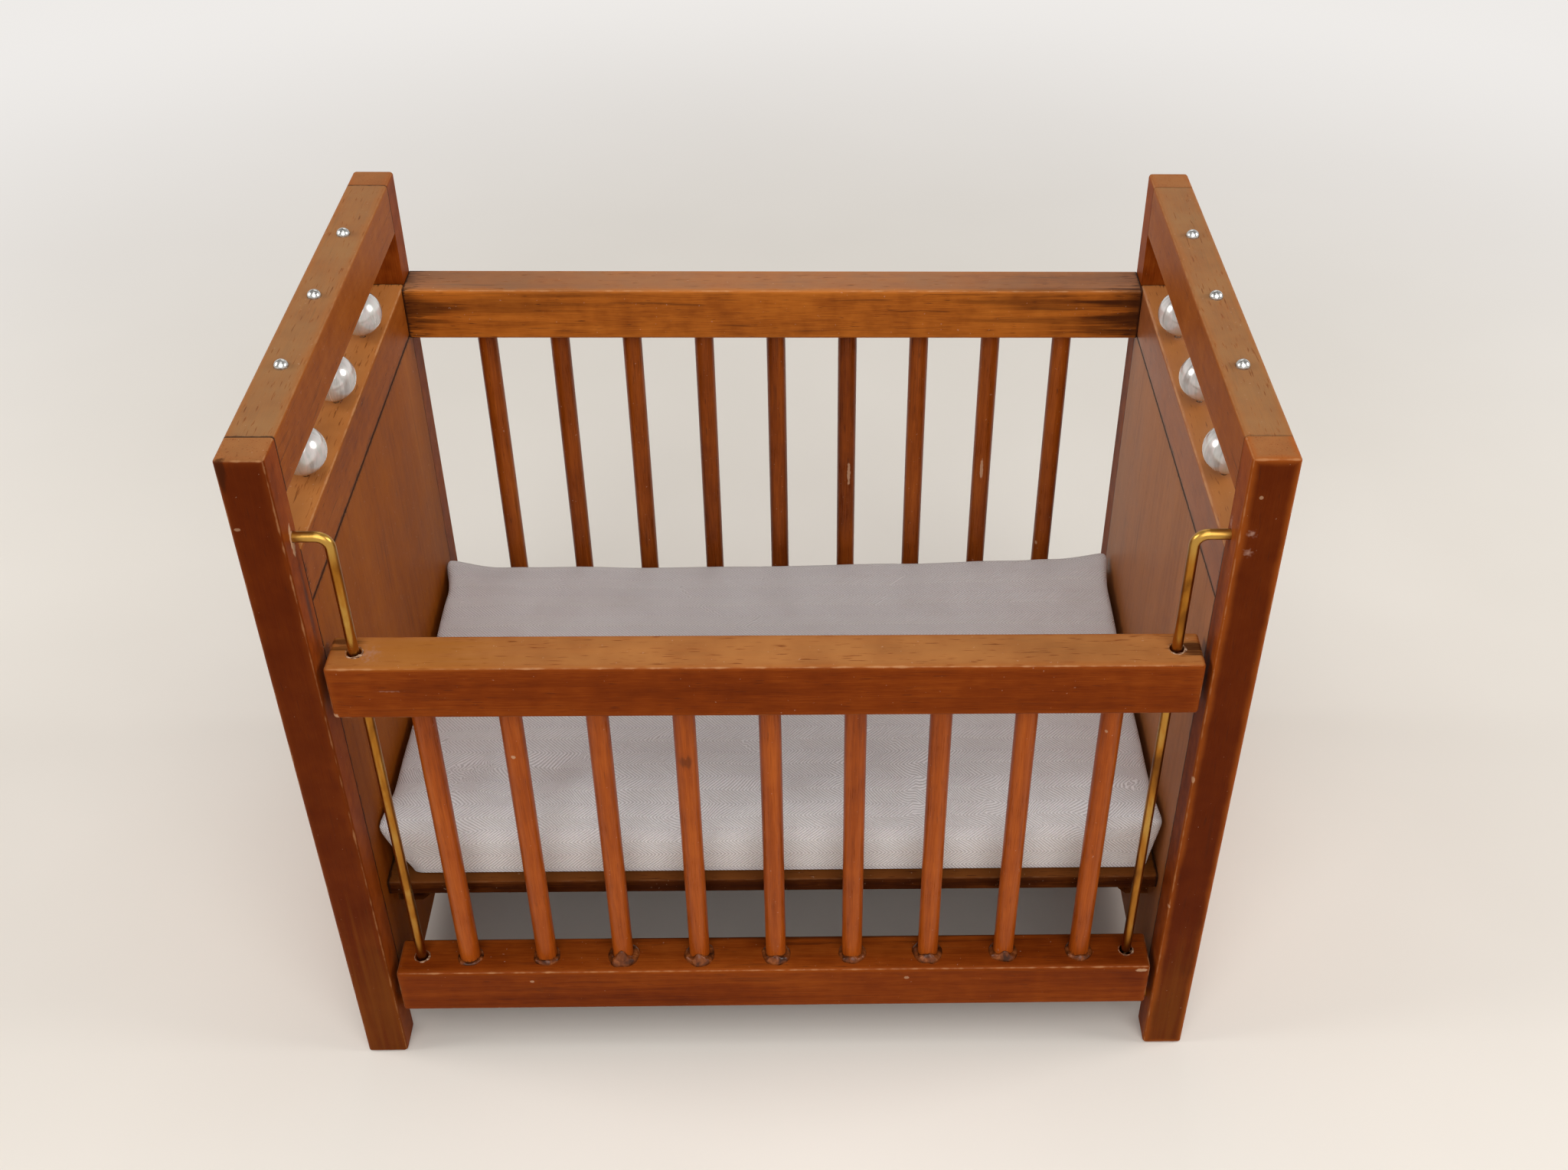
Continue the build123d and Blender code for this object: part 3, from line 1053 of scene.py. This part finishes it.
@dataclass
class RaggedRing:
    """A low uneven ring on a flat face, modelled once and copied: squeezed-out glue, or torn fibres.

    The ragged lumps and the finer crumbs each have a size, as a share of the ring, and a frequency.
    """

    name: str
    ragged: float
    crumbly: float
    section: float = 0.25
    sink: float = 0.06
    lumps_round: float = 1.7
    crumbs_round: float = 6.0
    thinnest: float = 0.10

    def model(self) -> bpy.types.Object:
        """Models the even ring that the copies start from, cut flat underneath.

        Returns:
            The ring, of radius 1.
        """
        ring = start_piece(
            self.name, bpy.ops.mesh.primitive_torus_add, major_segments=64, minor_segments=18,
            major_radius=1.0, minor_radius=self.section,
        )
        bpy.ops.object.mode_set(mode="EDIT")
        bpy.ops.mesh.select_all(action="SELECT")
        bpy.ops.mesh.bisect(
            plane_co=(0.0, 0.0, -self.sink), plane_no=(0.0, 0.0, 1.0), clear_inner=True, use_fill=True,
        )
        bpy.ops.mesh.select_all(action="SELECT")
        bpy.ops.mesh.normals_make_consistent(inside=False)
        bpy.ops.object.mode_set(mode="OBJECT")
        bpy.ops.object.shade_smooth_by_angle(angle=math.radians(60))
        return ring

    def copy(self, ring: bpy.types.Object, spot: RingSpot) -> bpy.types.Object:
        """Copies the ring to a spot and makes it uneven.

        Args:
            ring: The even ring.
            spot: Where the copy lies and its size.

        Returns:
            The copy, with its own mesh.
        """
        piece = ring.copy()
        piece.data = ring.data.copy()
        piece.name = spot.name
        piece.data.name = spot.name
        bpy.context.collection.objects.link(piece)
        for vertex in piece.data.vertices:
            vertex.co = self._uneven(vertex.co, spot)
        return piece

    def _uneven(self, point: Vector, spot: RingSpot) -> Vector:
        """Moves a point of the even ring to where it lies on the uneven one.

        Args:
            point: The point on the even ring.
            spot: Where the uneven ring lies and its size.

        Returns:
            The point in metres.
        """
        turn = math.atan2(point.y, point.x)
        out = (math.hypot(point.x, point.y) - 1.0) / self.section
        up = point.z / self.section
        toward = math.cos(turn - math.radians(spot.heavy))
        around = Vector((math.cos(turn), math.sin(turn), 0.0)) * self.lumps_round
        round_place = around + Vector((0.0, 0.0, spot.seed * 3.7))
        gather = 1.0 - spot.lean * (0.5 - 0.5 * toward)
        lump = max(self.thinnest, gather * (1.0 + self.ragged * noise.noise(round_place)))
        crumb = 1.0 + self.crumbly * noise.noise(point * self.crumbs_round + Vector((0.0, 0.0, spot.seed)))
        inner = max(0.0, 0.5 - 0.5 * out) * max(0.0, up)
        reach = spot.radius + out * spot.width * lump * crumb
        rise = up * spot.height * lump * crumb + spot.climb * max(0.0, toward) ** 6 * inner
        x, y, z = spot.middle
        return Vector((x + reach * math.cos(turn), y + reach * math.sin(turn), z + rise)) * MM


@dataclass
class EndFrame(SubAssembly):
    """One end of the crib: two posts, top bar, middle rail, panel and the cleat under the platform."""

    side: Side
    first_seed: int
    panel_tone: WoodTone
    rail_tone: WoodTone
    # How much the front post's edges are lightened by wear and a painted highlight
    post_rub_and_highlight: float
    bar_seam: float
    post_spots: tuple[Spot, ...] = ()

    def _finish(self, part: str, tone: WoodTone, grain: Grain, seed: int, **details: Any) -> None:
        """Dresses one part of this end in stained wood.

        Args:
            part: The part's name without its side.
            tone: Its colours.
            grain: The axis that the grain follows.
            seed: Its number within this end.
            details: Further fields of the finish.
        """
        node = f"{self.side.value}_{part}"
        low, high = box_mm(node)
        finish = WoodFinish(f"{node}_wood", tone, grain, low, high, self.first_seed + seed, **details)
        dress_node(node, finish.material())

    def dress(self) -> None:
        """Dresses the posts, bars, panel and cleat."""
        ends = frozenset({Face.FRONT, Face.BACK})
        front = frozenset({Face.FRONT})
        back = frozenset({Face.BACK})
        self._finish(
            "front_post", POST_TONE, Grain.ALONG_Z, 0, hidden=back, deep=front, fade=POST_TOP_LIGHT, wear=0.40,
            rub=self.post_rub_and_highlight, spots=self.post_spots,
        )
        self._finish(
            "back_post", POST_TONE, Grain.ALONG_Z, 1, hidden=front, deep=back, fade=POST_TOP_LIGHT, wear=0.30,
        )
        self._finish(
            "top_bar", BAR_TONE, Grain.ALONG_Y, 2, glued=ends, fade=BAR_TOP_LIGHT, wear=0.25, seam=self.bar_seam,
        )
        self._finish(
            "middle_rail", self.rail_tone, Grain.ALONG_Y, 3, glued=ends | {Face.UNDER}, fade=MIDDLE_TOP_LIGHT,
            fading=0.8, bleed=1.2,
        )
        self._finish(
            "end_panel", self.panel_tone, Grain.ALONG_Z, 4, glued=ends | {Face.TOP}, wear=0.2, bleed=1.0,
        )
        self._finish("platform_cleat", BOARD_TONE, Grain.ALONG_Y, 5, wear=0.1)


@dataclass
class BeadRow(SubAssembly):
    """The pearl beads of one end and the headed pins that carry them."""

    side: Side
    steel: bpy.types.Material
    first_seed: int
    count: int = 3

    def dress(self) -> None:
        """Dresses the beads, each with its own nacre, and the pins."""
        for number in range(1, self.count + 1):
            bead = f"{self.side.value}_bead_{number}"
            low, high = box_mm(bead)
            middle = tuple((start + end) / 2 for start, end in zip(low, high))
            nacre = PearlFinish(f"{bead}_nacre", middle, self.first_seed + number)
            dress_node(bead, nacre.material())
            dress_node(f"{self.side.value}_bead_pin_{number}", self.steel)


@dataclass
class SlattedSide(SubAssembly):
    """A ladder of two rails and nine dowels: the fixed back, or the gate."""

    name: str
    tone: WoodTone
    dowel_tone: WoodTone
    fade: Colour
    first_seed: int
    glued_ends: bool = True
    end_bleed: float = 5.0
    top_spots: tuple[Spot, ...] = ()
    bottom_spots: tuple[Spot, ...] = ()
    dowel_spots: tuple[Spot, ...] = ()
    count: int = 9

    def dress(self) -> None:
        """Dresses the two rails and the dowels."""
        ends = frozenset({Face.LEFT, Face.RIGHT}) if self.glued_ends else frozenset()
        rails = (("top_rail", self.fade, self.top_spots), ("bottom_rail", None, self.bottom_spots))
        for seed, (part, fade, spots) in enumerate(rails):
            node = f"{self.name}_{part}"
            low, high = box_mm(node)
            finish = WoodFinish(
                f"{node}_wood", self.tone, Grain.ALONG_X, low, high, self.first_seed + seed,
                glued=ends, fade=fade, bleed=self.end_bleed if self.glued_ends else 0.0, spots=spots,
            )
            dress_node(node, finish.material())
        self._dress_dowels()

    def _dress_dowels(self) -> None:
        """Dresses the dowels, with a dark line where they enter the rails."""
        foot = box_mm(f"{self.name}_bottom_rail")[1][2]
        head = box_mm(f"{self.name}_top_rail")[0][2]
        sides = frozenset({Face.LEFT, Face.RIGHT, Face.FRONT, Face.BACK})
        finish = WoodFinish(
            f"{self.name}_dowel_wood", self.dowel_tone, Grain.ALONG_Z, (-FAR, -FAR, foot), (FAR, FAR, head),
            self.first_seed + 2, glued=frozenset({Face.UNDER, Face.TOP}), hidden=sides,
            wear=0.0, rub=0.0, bleed=1.0, spots=self.dowel_spots,
        )
        material = finish.material()
        for number in range(1, self.count + 1):
            dress_node(f"{self.name}_dowel_{number}", material)


@dataclass
class GlueBeads(SubAssembly):
    """The glue that was squeezed out round the feet of the gate's dowels."""

    glue: bpy.types.Material
    widths: tuple[float, ...] = (0.34, 0.40, 0.70, 0.58, 0.54, 0.48, 0.64, 0.50, 0.42)
    climbs: tuple[float, ...] = (0.0, 0.5, 3.0, 1.5, 1.0, 0.6, 1.2, 2.0, 0.4)
    lean: float = 0.55
    overlap: float = 0.4
    pieces: list[bpy.types.Object] = field(default_factory=list)

    def build(self) -> None:
        """Makes a ring of glue for each dowel."""
        style = RaggedRing("glue_ring", ragged=0.6, crumbly=0.10)
        master = style.model()
        top = box_mm("gate_bottom_rail")[1][2]
        for number, (width, climb) in enumerate(zip(self.widths, self.climbs), start=1):
            low, high = box_mm(f"gate_dowel_{number}")
            middle = ((low[0] + high[0]) / 2, (low[1] + high[1]) / 2, top)
            radius = (high[0] - low[0]) / 2 + self.overlap * width
            spot = RingSpot(
                f"glue_ring_{number}", middle, radius, width, width, climb, lean=self.lean, seed=number,
            )
            self.pieces.append(style.copy(master, spot))
        bpy.data.objects.remove(master)

    def dress(self) -> None:
        """Lets the rings ride on the gate."""
        for piece in self.pieces:
            finish_piece(piece, "gate", self.glue)


@dataclass
class RodHoleRims(SubAssembly):
    """The torn fibres round the holes where the rods pass through the gate's rails."""

    fibre: bpy.types.Material
    hole_radius: float = 0.9
    width: float = 0.13
    height: float = 0.09
    heavy: float = -55.0
    lean: float = 0.85
    pieces: list[bpy.types.Object] = field(default_factory=list)

    def build(self) -> None:
        """Makes a rim on top of each rail at each rod."""
        style = RaggedRing("rod_hole_rim", ragged=1.4, crumbly=0.35)
        master = style.model()
        for seed, side in enumerate(Side):
            low, high = box_mm(f"{side.value}_gate_rod")
            thick = high[1] - low[1]
            x = high[0] - thick / 2 if side is Side.LEFT else low[0] + thick / 2
            for part, first_seed in (("top", 5), ("bottom", 9)):
                top = box_mm(f"gate_{part}_rail")[1][2]
                middle = (x, (low[1] + high[1]) / 2, top)
                spot = RingSpot(
                    f"{side.value}_{part}_rod_hole_rim", middle, self.hole_radius + self.width,
                    self.width, self.height, heavy=self.heavy, lean=self.lean, seed=first_seed + seed,
                )
                self.pieces.append(style.copy(master, spot))
        bpy.data.objects.remove(master)

    def dress(self) -> None:
        """Lets the rims ride on the gate."""
        for piece in self.pieces:
            finish_piece(piece, "gate", self.fibre)


@dataclass(frozen=True)
class PadCorner:
    """A corner of the pad: which one it is, and how far its top is drawn out and its foot leans in."""

    is_right: bool
    is_front: bool
    pull: Triple
    slant: float = 0.0


@dataclass
class Mattress(SubAssembly):
    """A pad wrapped in twill: swollen as cloth, round and puckered in front, with drawn-out corners.

    Sizes are in millimetres. The swelling is simulated at nursery size, where cloth behaves as cloth.
    The back edge rises by back_lift, given as its middle, its slope and its curve along the crib.
    """

    cover: bpy.types.Material
    layout: str = "weave"
    spare: float = 0.05
    side_gap: float = 0.45
    back_gap: float = 0.15
    corners: tuple[PadCorner, ...] = (
        PadCorner(is_right=False, is_front=True, pull=(-1.3, -1.1, -0.7), slant=2.6),
        PadCorner(is_right=True, is_front=True, pull=(0.8, -1.1, 0.0), slant=0.6),
        PadCorner(is_right=False, is_front=False, pull=(-1.5, 0.6, 0.7)),
        PadCorner(is_right=True, is_front=False, pull=(1.0, 0.6, 0.3)),
    )
    edge: float = 1.1
    foot: float = 2.0
    shoulder_reach: float = 10.0
    shoulder_drop: float = 6.5
    corner_reach: float = 8.0
    draw_reach: float = 3.4
    lean_reach: float = 9.0
    back_reach: float = 14.0
    back_lift: Triple = (0.3, 0.8, 1.3)
    front_reach: float = 6.0
    front_slack: float = 0.35
    front_ripple: float = 0.2
    lump_height: float = 0.35
    pucker_height: float = 1.7
    pucker_set_back: float = 4.0
    pucker_reach: float = 8.0
    crown: float = 0.9
    nursery: float = 12.0
    voxel: float = 12.0
    pressure: float = 4.0
    frames: int = 20
    pad: bpy.types.Object | None = None

    def build(self) -> None:
        """Models the pad, swells it, draws out its corners and lays the cloth's coordinates on it."""
        low, high = (Vector(corner) for corner in box_mm("mattress"))
        start = low + Vector((self.spare, self.spare, -self.foot))
        end = high - Vector((self.spare, self.spare, self.crown))
        self.pad = self._block(start, end)
        self._resize(self.nursery)
        self._remesh()
        self._move(lambda point: self._round_front(point, low, end), self.nursery)
        self._remesh()
        self._inflate()
        self._smooth()
        self._resize(1.0 / self.nursery)
        self._move(lambda point: self._sculpt(point, low, high), 1.0)
        self._finish_mesh(low.z)
        self._lay_cloth(high.z)

    def _block(self, start: Vector, end: Vector) -> bpy.types.Object:
        """Models the block that the cover starts from, with eased edges.

        Args:
            start: Its lowest corner in millimetres.
            end: Its highest corner in millimetres.

        Returns:
            The block.
        """
        pad = start_piece(
            "mattress_pad", bpy.ops.mesh.primitive_cube_add, size=1.0, location=(start + end) * MM / 2,
        )
        pad.scale = (end - start) * MM
        settle(pad)
        bpy.ops.object.mode_set(mode="EDIT")
        bpy.ops.mesh.select_all(action="SELECT")
        bpy.ops.mesh.bevel(offset=self.edge * MM, segments=4, affect="EDGES")
        bpy.ops.object.mode_set(mode="OBJECT")
        return pad

    def _resize(self, factor: float) -> None:
        """Scales the pad about the origin."""
        self.pad.scale = (factor, factor, factor)
        settle(self.pad)

    def _remesh(self) -> None:
        """Gives the pad an even mesh."""
        self.pad.data.remesh_voxel_size = self.voxel * MM
        bpy.ops.object.voxel_remesh()

    def _move(self, place: Callable[[Vector], Vector], scale: float) -> None:
        """Moves every point of the pad.

        Args:
            place: What moves a point, in millimetres on the miniature.
            scale: How many times larger than the miniature the pad is now.
        """
        for vertex in self.pad.data.vertices:
            vertex.co = place(vertex.co / (scale * MM)) * (scale * MM)

    def _round_front(self, point: Vector, low: Vector, end: Vector) -> Vector:
        """Rounds off the front of the block between its corners.

        Args:
            point: A point of the block.
            low: The mattress's lowest corner.
            end: The block's highest corner.

        Returns:
            Where the point goes.
        """
        reach = min(1.0, max(0.0, (low.y + self.shoulder_reach - point.y) / self.shoulder_reach))
        corner = self._near(end.x - abs(point.x), self.corner_reach)
        drop = self.shoulder_drop * (1.0 - math.sqrt(1.0 - reach * reach)) * (1.0 - corner)
        height = max(0.0, point.z - low.z)
        return Vector((point.x, point.y, point.z - height * drop / (end.z - low.z)))

    def _inflate(self) -> None:
        """Swells the cover under pressure and scales the swelling down to the crown."""
        pad = self.pad
        rest = [vertex.co.copy() for vertex in pad.data.vertices]
        floor = min(point.z for point in rest) + 1.5 * self.voxel * MM
        held = pad.vertex_groups.new(name="held")
        held.add([index for index, point in enumerate(rest) if point.z < floor], 1.0, "REPLACE")
        cloth = pad.modifiers.new("cover", "CLOTH")
        cloth.settings.quality = 5
        cloth.settings.mass = 0.2
        cloth.settings.vertex_group_mass = held.name
        cloth.settings.use_pressure = True
        cloth.settings.uniform_pressure_force = self.pressure
        cloth.settings.effector_weights.gravity = 0.0
        for number in range(1, self.frames + 1):
            bpy.context.scene.frame_set(number)
        bpy.ops.object.modifier_apply(modifier=cloth.name)
        bpy.context.scene.frame_set(1)
        moves = [vertex.co - point for vertex, point in zip(pad.data.vertices, rest)]
        most = max(move.length for move in moves)
        share = min(1.0, self.crown * self.nursery * MM / max(most, MM))
        for vertex, point, move in zip(pad.data.vertices, rest, moves):
            vertex.co = point + move * share
        log.info("mattress cover swelled %.1f mm, scaled by %.2f", most / MM, share)

    def _smooth(self) -> None:
        """Irons out the pinches that the swelling leaves in the mesh."""
        bpy.ops.object.mode_set(mode="EDIT")
        bpy.ops.mesh.select_all(action="SELECT")
        bpy.ops.mesh.vertices_smooth(factor=0.5, repeat=1)
        bpy.ops.object.mode_set(mode="OBJECT")

    @staticmethod
    def _near(away: float, reach: float) -> float:
        """Makes a share that falls off softly with the distance.

        Args:
            away: The distance.
            reach: How far the share reaches.

        Returns:
            A share from 1 down to 0.
        """
        return math.exp(-(away / reach) ** 2)

    def _sculpt(self, point: Vector, low: Vector, high: Vector) -> Vector:
        """Draws out the corners, tucks in the foot, raises the back edge and puckers the front.

        Args:
            point: A point of the swollen pad.
            low: The mattress's lowest corner.
            high: Its highest corner.

        Returns:
            Where the point goes.
        """
        share = min(1.0, max(0.0, (point.z - low.z) / (high.z - low.z)))
        tuck = (1.0 - share) ** 2
        moved = point.copy()
        for corner in self.corners:
            place = Vector((high.x if corner.is_right else low.x, low.y if corner.is_front else high.y))
            away = (point.xy - place).length
            moved += Vector(corner.pull) * self._near(away, self.draw_reach) * share ** 1.5
            lean = corner.slant * tuck * self._near(away, self.lean_reach)
            moved.x += -lean if corner.is_right else lean
        along = point.x / high.x
        middle, slope, curve = self.back_lift
        lift = middle + slope * along + curve * along * along
        moved.z += lift * self._near(point.y - high.y, self.back_reach) * share
        front = self._near(point.y - low.y, self.front_reach)
        slack = self.front_slack * noise.noise(Vector((point.x * 0.07, point.z * 0.05, 7.0)))
        ripple = self.front_ripple * noise.noise(Vector((point.x * 0.19, point.z * 0.2, 2.0)))
        moved.y += front * share * (slack + ripple)
        puckered = self._near(point.y - low.y - self.pucker_set_back, self.pucker_reach)
        lumps = self.lump_height * noise.noise(Vector((point.x * 0.09, point.y * 0.09, 3.0)))
        puckers = self.pucker_height * noise.noise(Vector((point.x * 0.13, point.y * 0.10, 11.0)))
        moved.z += share * (lumps + puckered * puckers)
        limit = high.x + self.side_gap
        moved.x = min(limit, max(-limit, moved.x))
        moved.y = min(high.y + self.back_gap, moved.y)
        return moved

    def _finish_mesh(self, foot: float) -> None:
        """Smooths the pad with one subdivision and cuts it flat where it rests.

        Args:
            foot: The height where it rests, in millimetres.
        """
        bpy.context.view_layer.objects.active = self.pad
        smooth = self.pad.modifiers.new("smooth", "SUBSURF")
        smooth.levels = 1
        smooth.render_levels = 1
        bpy.ops.object.modifier_apply(modifier=smooth.name)
        bpy.ops.object.mode_set(mode="EDIT")
        bpy.ops.mesh.select_all(action="SELECT")
        bpy.ops.mesh.bisect(
            plane_co=(0.0, 0.0, foot * MM), plane_no=(0.0, 0.0, 1.0), clear_inner=True, use_fill=True,
        )
        bpy.ops.object.mode_set(mode="OBJECT")
        bpy.ops.object.shade_smooth_by_angle(angle=math.radians(50))

    def _lay_cloth(self, top: float) -> None:
        """Lays flat coordinates on the pad that run over the top and on down its sides.

        Args:
            top: The height of the top, in millimetres.
        """
        mesh = self.pad.data
        layout = mesh.uv_layers.new(name=self.layout)
        flat = []
        for vertex in mesh.vertices:
            side = vertex.normal.xy
            spread = abs(side.x) + abs(side.y)
            drop = max(0.0, top * MM - vertex.co.z)
            flat.append(vertex.co.xy + side * (drop / spread if spread > 0.05 else 0.0))
        for loop in mesh.loops:
            layout.data[loop.index].uv = flat[loop.vertex_index]

    def dress(self) -> None:
        """Dresses the pad in twill; it stands for the plain mattress."""
        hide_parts("mattress")
        finish_piece(self.pad, "mattress", self.cover)


@dataclass
class GateRods(SubAssembly):
    """The two bent wires that the gate slides on."""

    bend_reach: float = 2.0

    def dress(self) -> None:
        """Dresses both rods."""
        top = box_mm("left_gate_rod")[1][2]
        brass = WireFinish(top - self.bend_reach).material()
        for side in Side:
            dress_node(f"{side.value}_gate_rod", brass)


@dataclass
class Platform(SubAssembly):
    """The board under the mattress."""

    seed: int

    def dress(self) -> None:
        """Dresses the board."""
        low, high = box_mm("platform_board")
        ends = frozenset({Face.LEFT, Face.RIGHT})
        finish = WoodFinish(
            "platform_wood", BOARD_TONE, Grain.ALONG_X, low, high, self.seed,
            glued=ends, fade=BOARD_TOP_LIGHT, fading=0.8, wear=0.1, rub=0.15,
        )
        dress_node("platform_board", finish.material())


@dataclass(frozen=True)
class Lamp:
    """A round lamp: where it hangs and what it points at, its size in metres and its power in watts."""

    name: str
    place: Triple
    aim: Triple
    size: float
    power: float

    def hang(self) -> None:
        """Adds the lamp to the scene."""
        bpy.ops.object.select_all(action="DESELECT")
        bpy.ops.object.light_add(type="AREA", location=self.place)
        lamp = bpy.context.object
        lamp.name = self.name
        lamp.data.shape = "DISK"
        lamp.data.size = self.size
        lamp.data.energy = self.power
        lamp.rotation_mode = "QUATERNION"
        lamp.rotation_quaternion = (Vector(self.aim) - Vector(self.place)).to_track_quat("-Z", "Y")


LAMPS = (
    Lamp("front_lamp", (0.04, -0.44, 0.49), (0.0, 0.0, 0.05), 0.65, 2.85),
    Lamp("top_lamp", (0.0, -0.04, 0.62), (0.0, 0.0, 0.06), 0.25, 0.22),
    Lamp("back_lamp", (0.02, 0.56, 0.50), (0.0, 0.0, 0.09), 0.30, 0.30),
    Lamp("left_lamp", (-0.50, -0.02, 0.34), (0.0, 0.0, 0.06), 0.28, 1.35),
    Lamp("right_lamp", (0.50, -0.02, 0.34), (0.0, 0.0, 0.06), 0.28, 1.35),
)


@dataclass
class Studio:
    """The pale floor, the soft light and the camera; places in millimetres, the floor's size in metres."""

    camera_place: Triple = (5.479, -187.101, 204.249)
    camera_aim: Triple = (12.05, 0.0, 56.48)
    camera_roll: float = 1.035
    lens: float = 38.944
    sensor: float = 36.0
    picture_shift: float = -100.0
    floor_size: float = 6.0
    floor_drop: float = 0.02
    nearest_seen: float = 10.0
    sky: Colour = (1.0, 0.97, 0.94)
    ambient: float = 0.17
    horizon: float = 0.90
    zenith: float = 0.30

    def build(self) -> None:
        """Makes the floor, lamps, world and camera."""
        self._floor()
        for lamp in LAMPS:
            lamp.hang()
        self._world()
        self._camera()
        bpy.context.scene.view_settings.view_transform = "Standard"

    def _floor(self) -> None:
        """Lays the floor just under the feet."""
        floor = start_piece("studio_floor", bpy.ops.mesh.primitive_plane_add, size=self.floor_size)
        floor.location.z = -self.floor_drop * MM
        floor.data.materials.append(FloorFinish().material())

    def _world(self) -> None:
        """Lights the scene evenly, and shows a pale backdrop to the camera and to reflections."""
        world = bpy.data.worlds.new("studio_world")
        bpy.context.scene.world = world
        world.use_nodes = True
        graph = Graph(world.node_tree)
        height = graph.axes(graph.add("ShaderNodeTexCoord").outputs["Generated"])[2]
        backdrop = graph.rise(height, self.horizon, self.zenith)
        background = graph.tree.nodes["Background"]
        graph.feed(background.inputs["Color"], self.sky)
        graph.feed(background.inputs["Strength"], graph.rise(graph.seen(), self.ambient, backdrop))

    def _camera(self) -> None:
        """Sets the camera at the photograph's viewing angle."""
        bpy.ops.object.camera_add(location=Vector(self.camera_place) * MM)
        camera = bpy.context.object
        aim = Vector(self.camera_aim) - Vector(self.camera_place)
        roll = Quaternion((0.0, 0.0, 1.0), math.radians(self.camera_roll))
        camera.rotation_mode = "QUATERNION"
        camera.rotation_quaternion = aim.to_track_quat("-Z", "Y") @ roll
        camera.data.lens = self.lens
        camera.data.sensor_width = self.sensor
        camera.data.shift_x = self.picture_shift / IMAGE_WIDTH
        camera.data.clip_start = self.nearest_seen * MM
        bpy.context.scene.camera = camera


def main() -> None:
    """Builds and dresses the crib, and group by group."""
    logging.basicConfig(level=logging.INFO, format="%(message)s")
    Studio().build()
    steel = SteelFinish().material()
    groups: list[SubAssembly] = [
        # The posts' edges are lightened by wear and a painted highlight, more at the right end
        EndFrame(
            Side.LEFT, 1, PANEL_TONE, BAR_TONE, post_rub_and_highlight=0.1, bar_seam=0.85, post_spots=LEFT_POST_SPOTS,
        ),
        EndFrame(
            Side.RIGHT, 11, SHEEN_PAINTED_PANEL_TONE, SHEEN_PAINTED_BAR_TONE, post_rub_and_highlight=0.6, bar_seam=0.35,
            post_spots=RIGHT_POST_SPOTS,
        ),
        BeadRow(Side.LEFT, steel, first_seed=51),
        BeadRow(Side.RIGHT, steel, first_seed=61),
        SlattedSide(
            "back", BACK_TONE, BACK_DOWEL_TONE, BACK_TOP_LIGHT, 21,
            top_spots=BACK_RAIL_SPOTS, dowel_spots=BACK_DOWEL_SPOTS,
        ),
        SlattedSide(
            "gate", GATE_TONE, DOWEL_TONE, GATE_TOP_LIGHT, 31, glued_ends=False,
            top_spots=GATE_TOP_SPOTS, bottom_spots=GATE_BOTTOM_SPOTS, dowel_spots=GATE_DOWEL_SPOTS,
        ),
        GlueBeads(GlueFinish().material()),
        RodHoleRims(FibreFinish().material()),
        GateRods(),
        Platform(41),
        Mattress(TwillFinish().material()),
    ]
    for group in groups:
        group.build()
        group.dress()


if __name__ == "__main__":
    main()
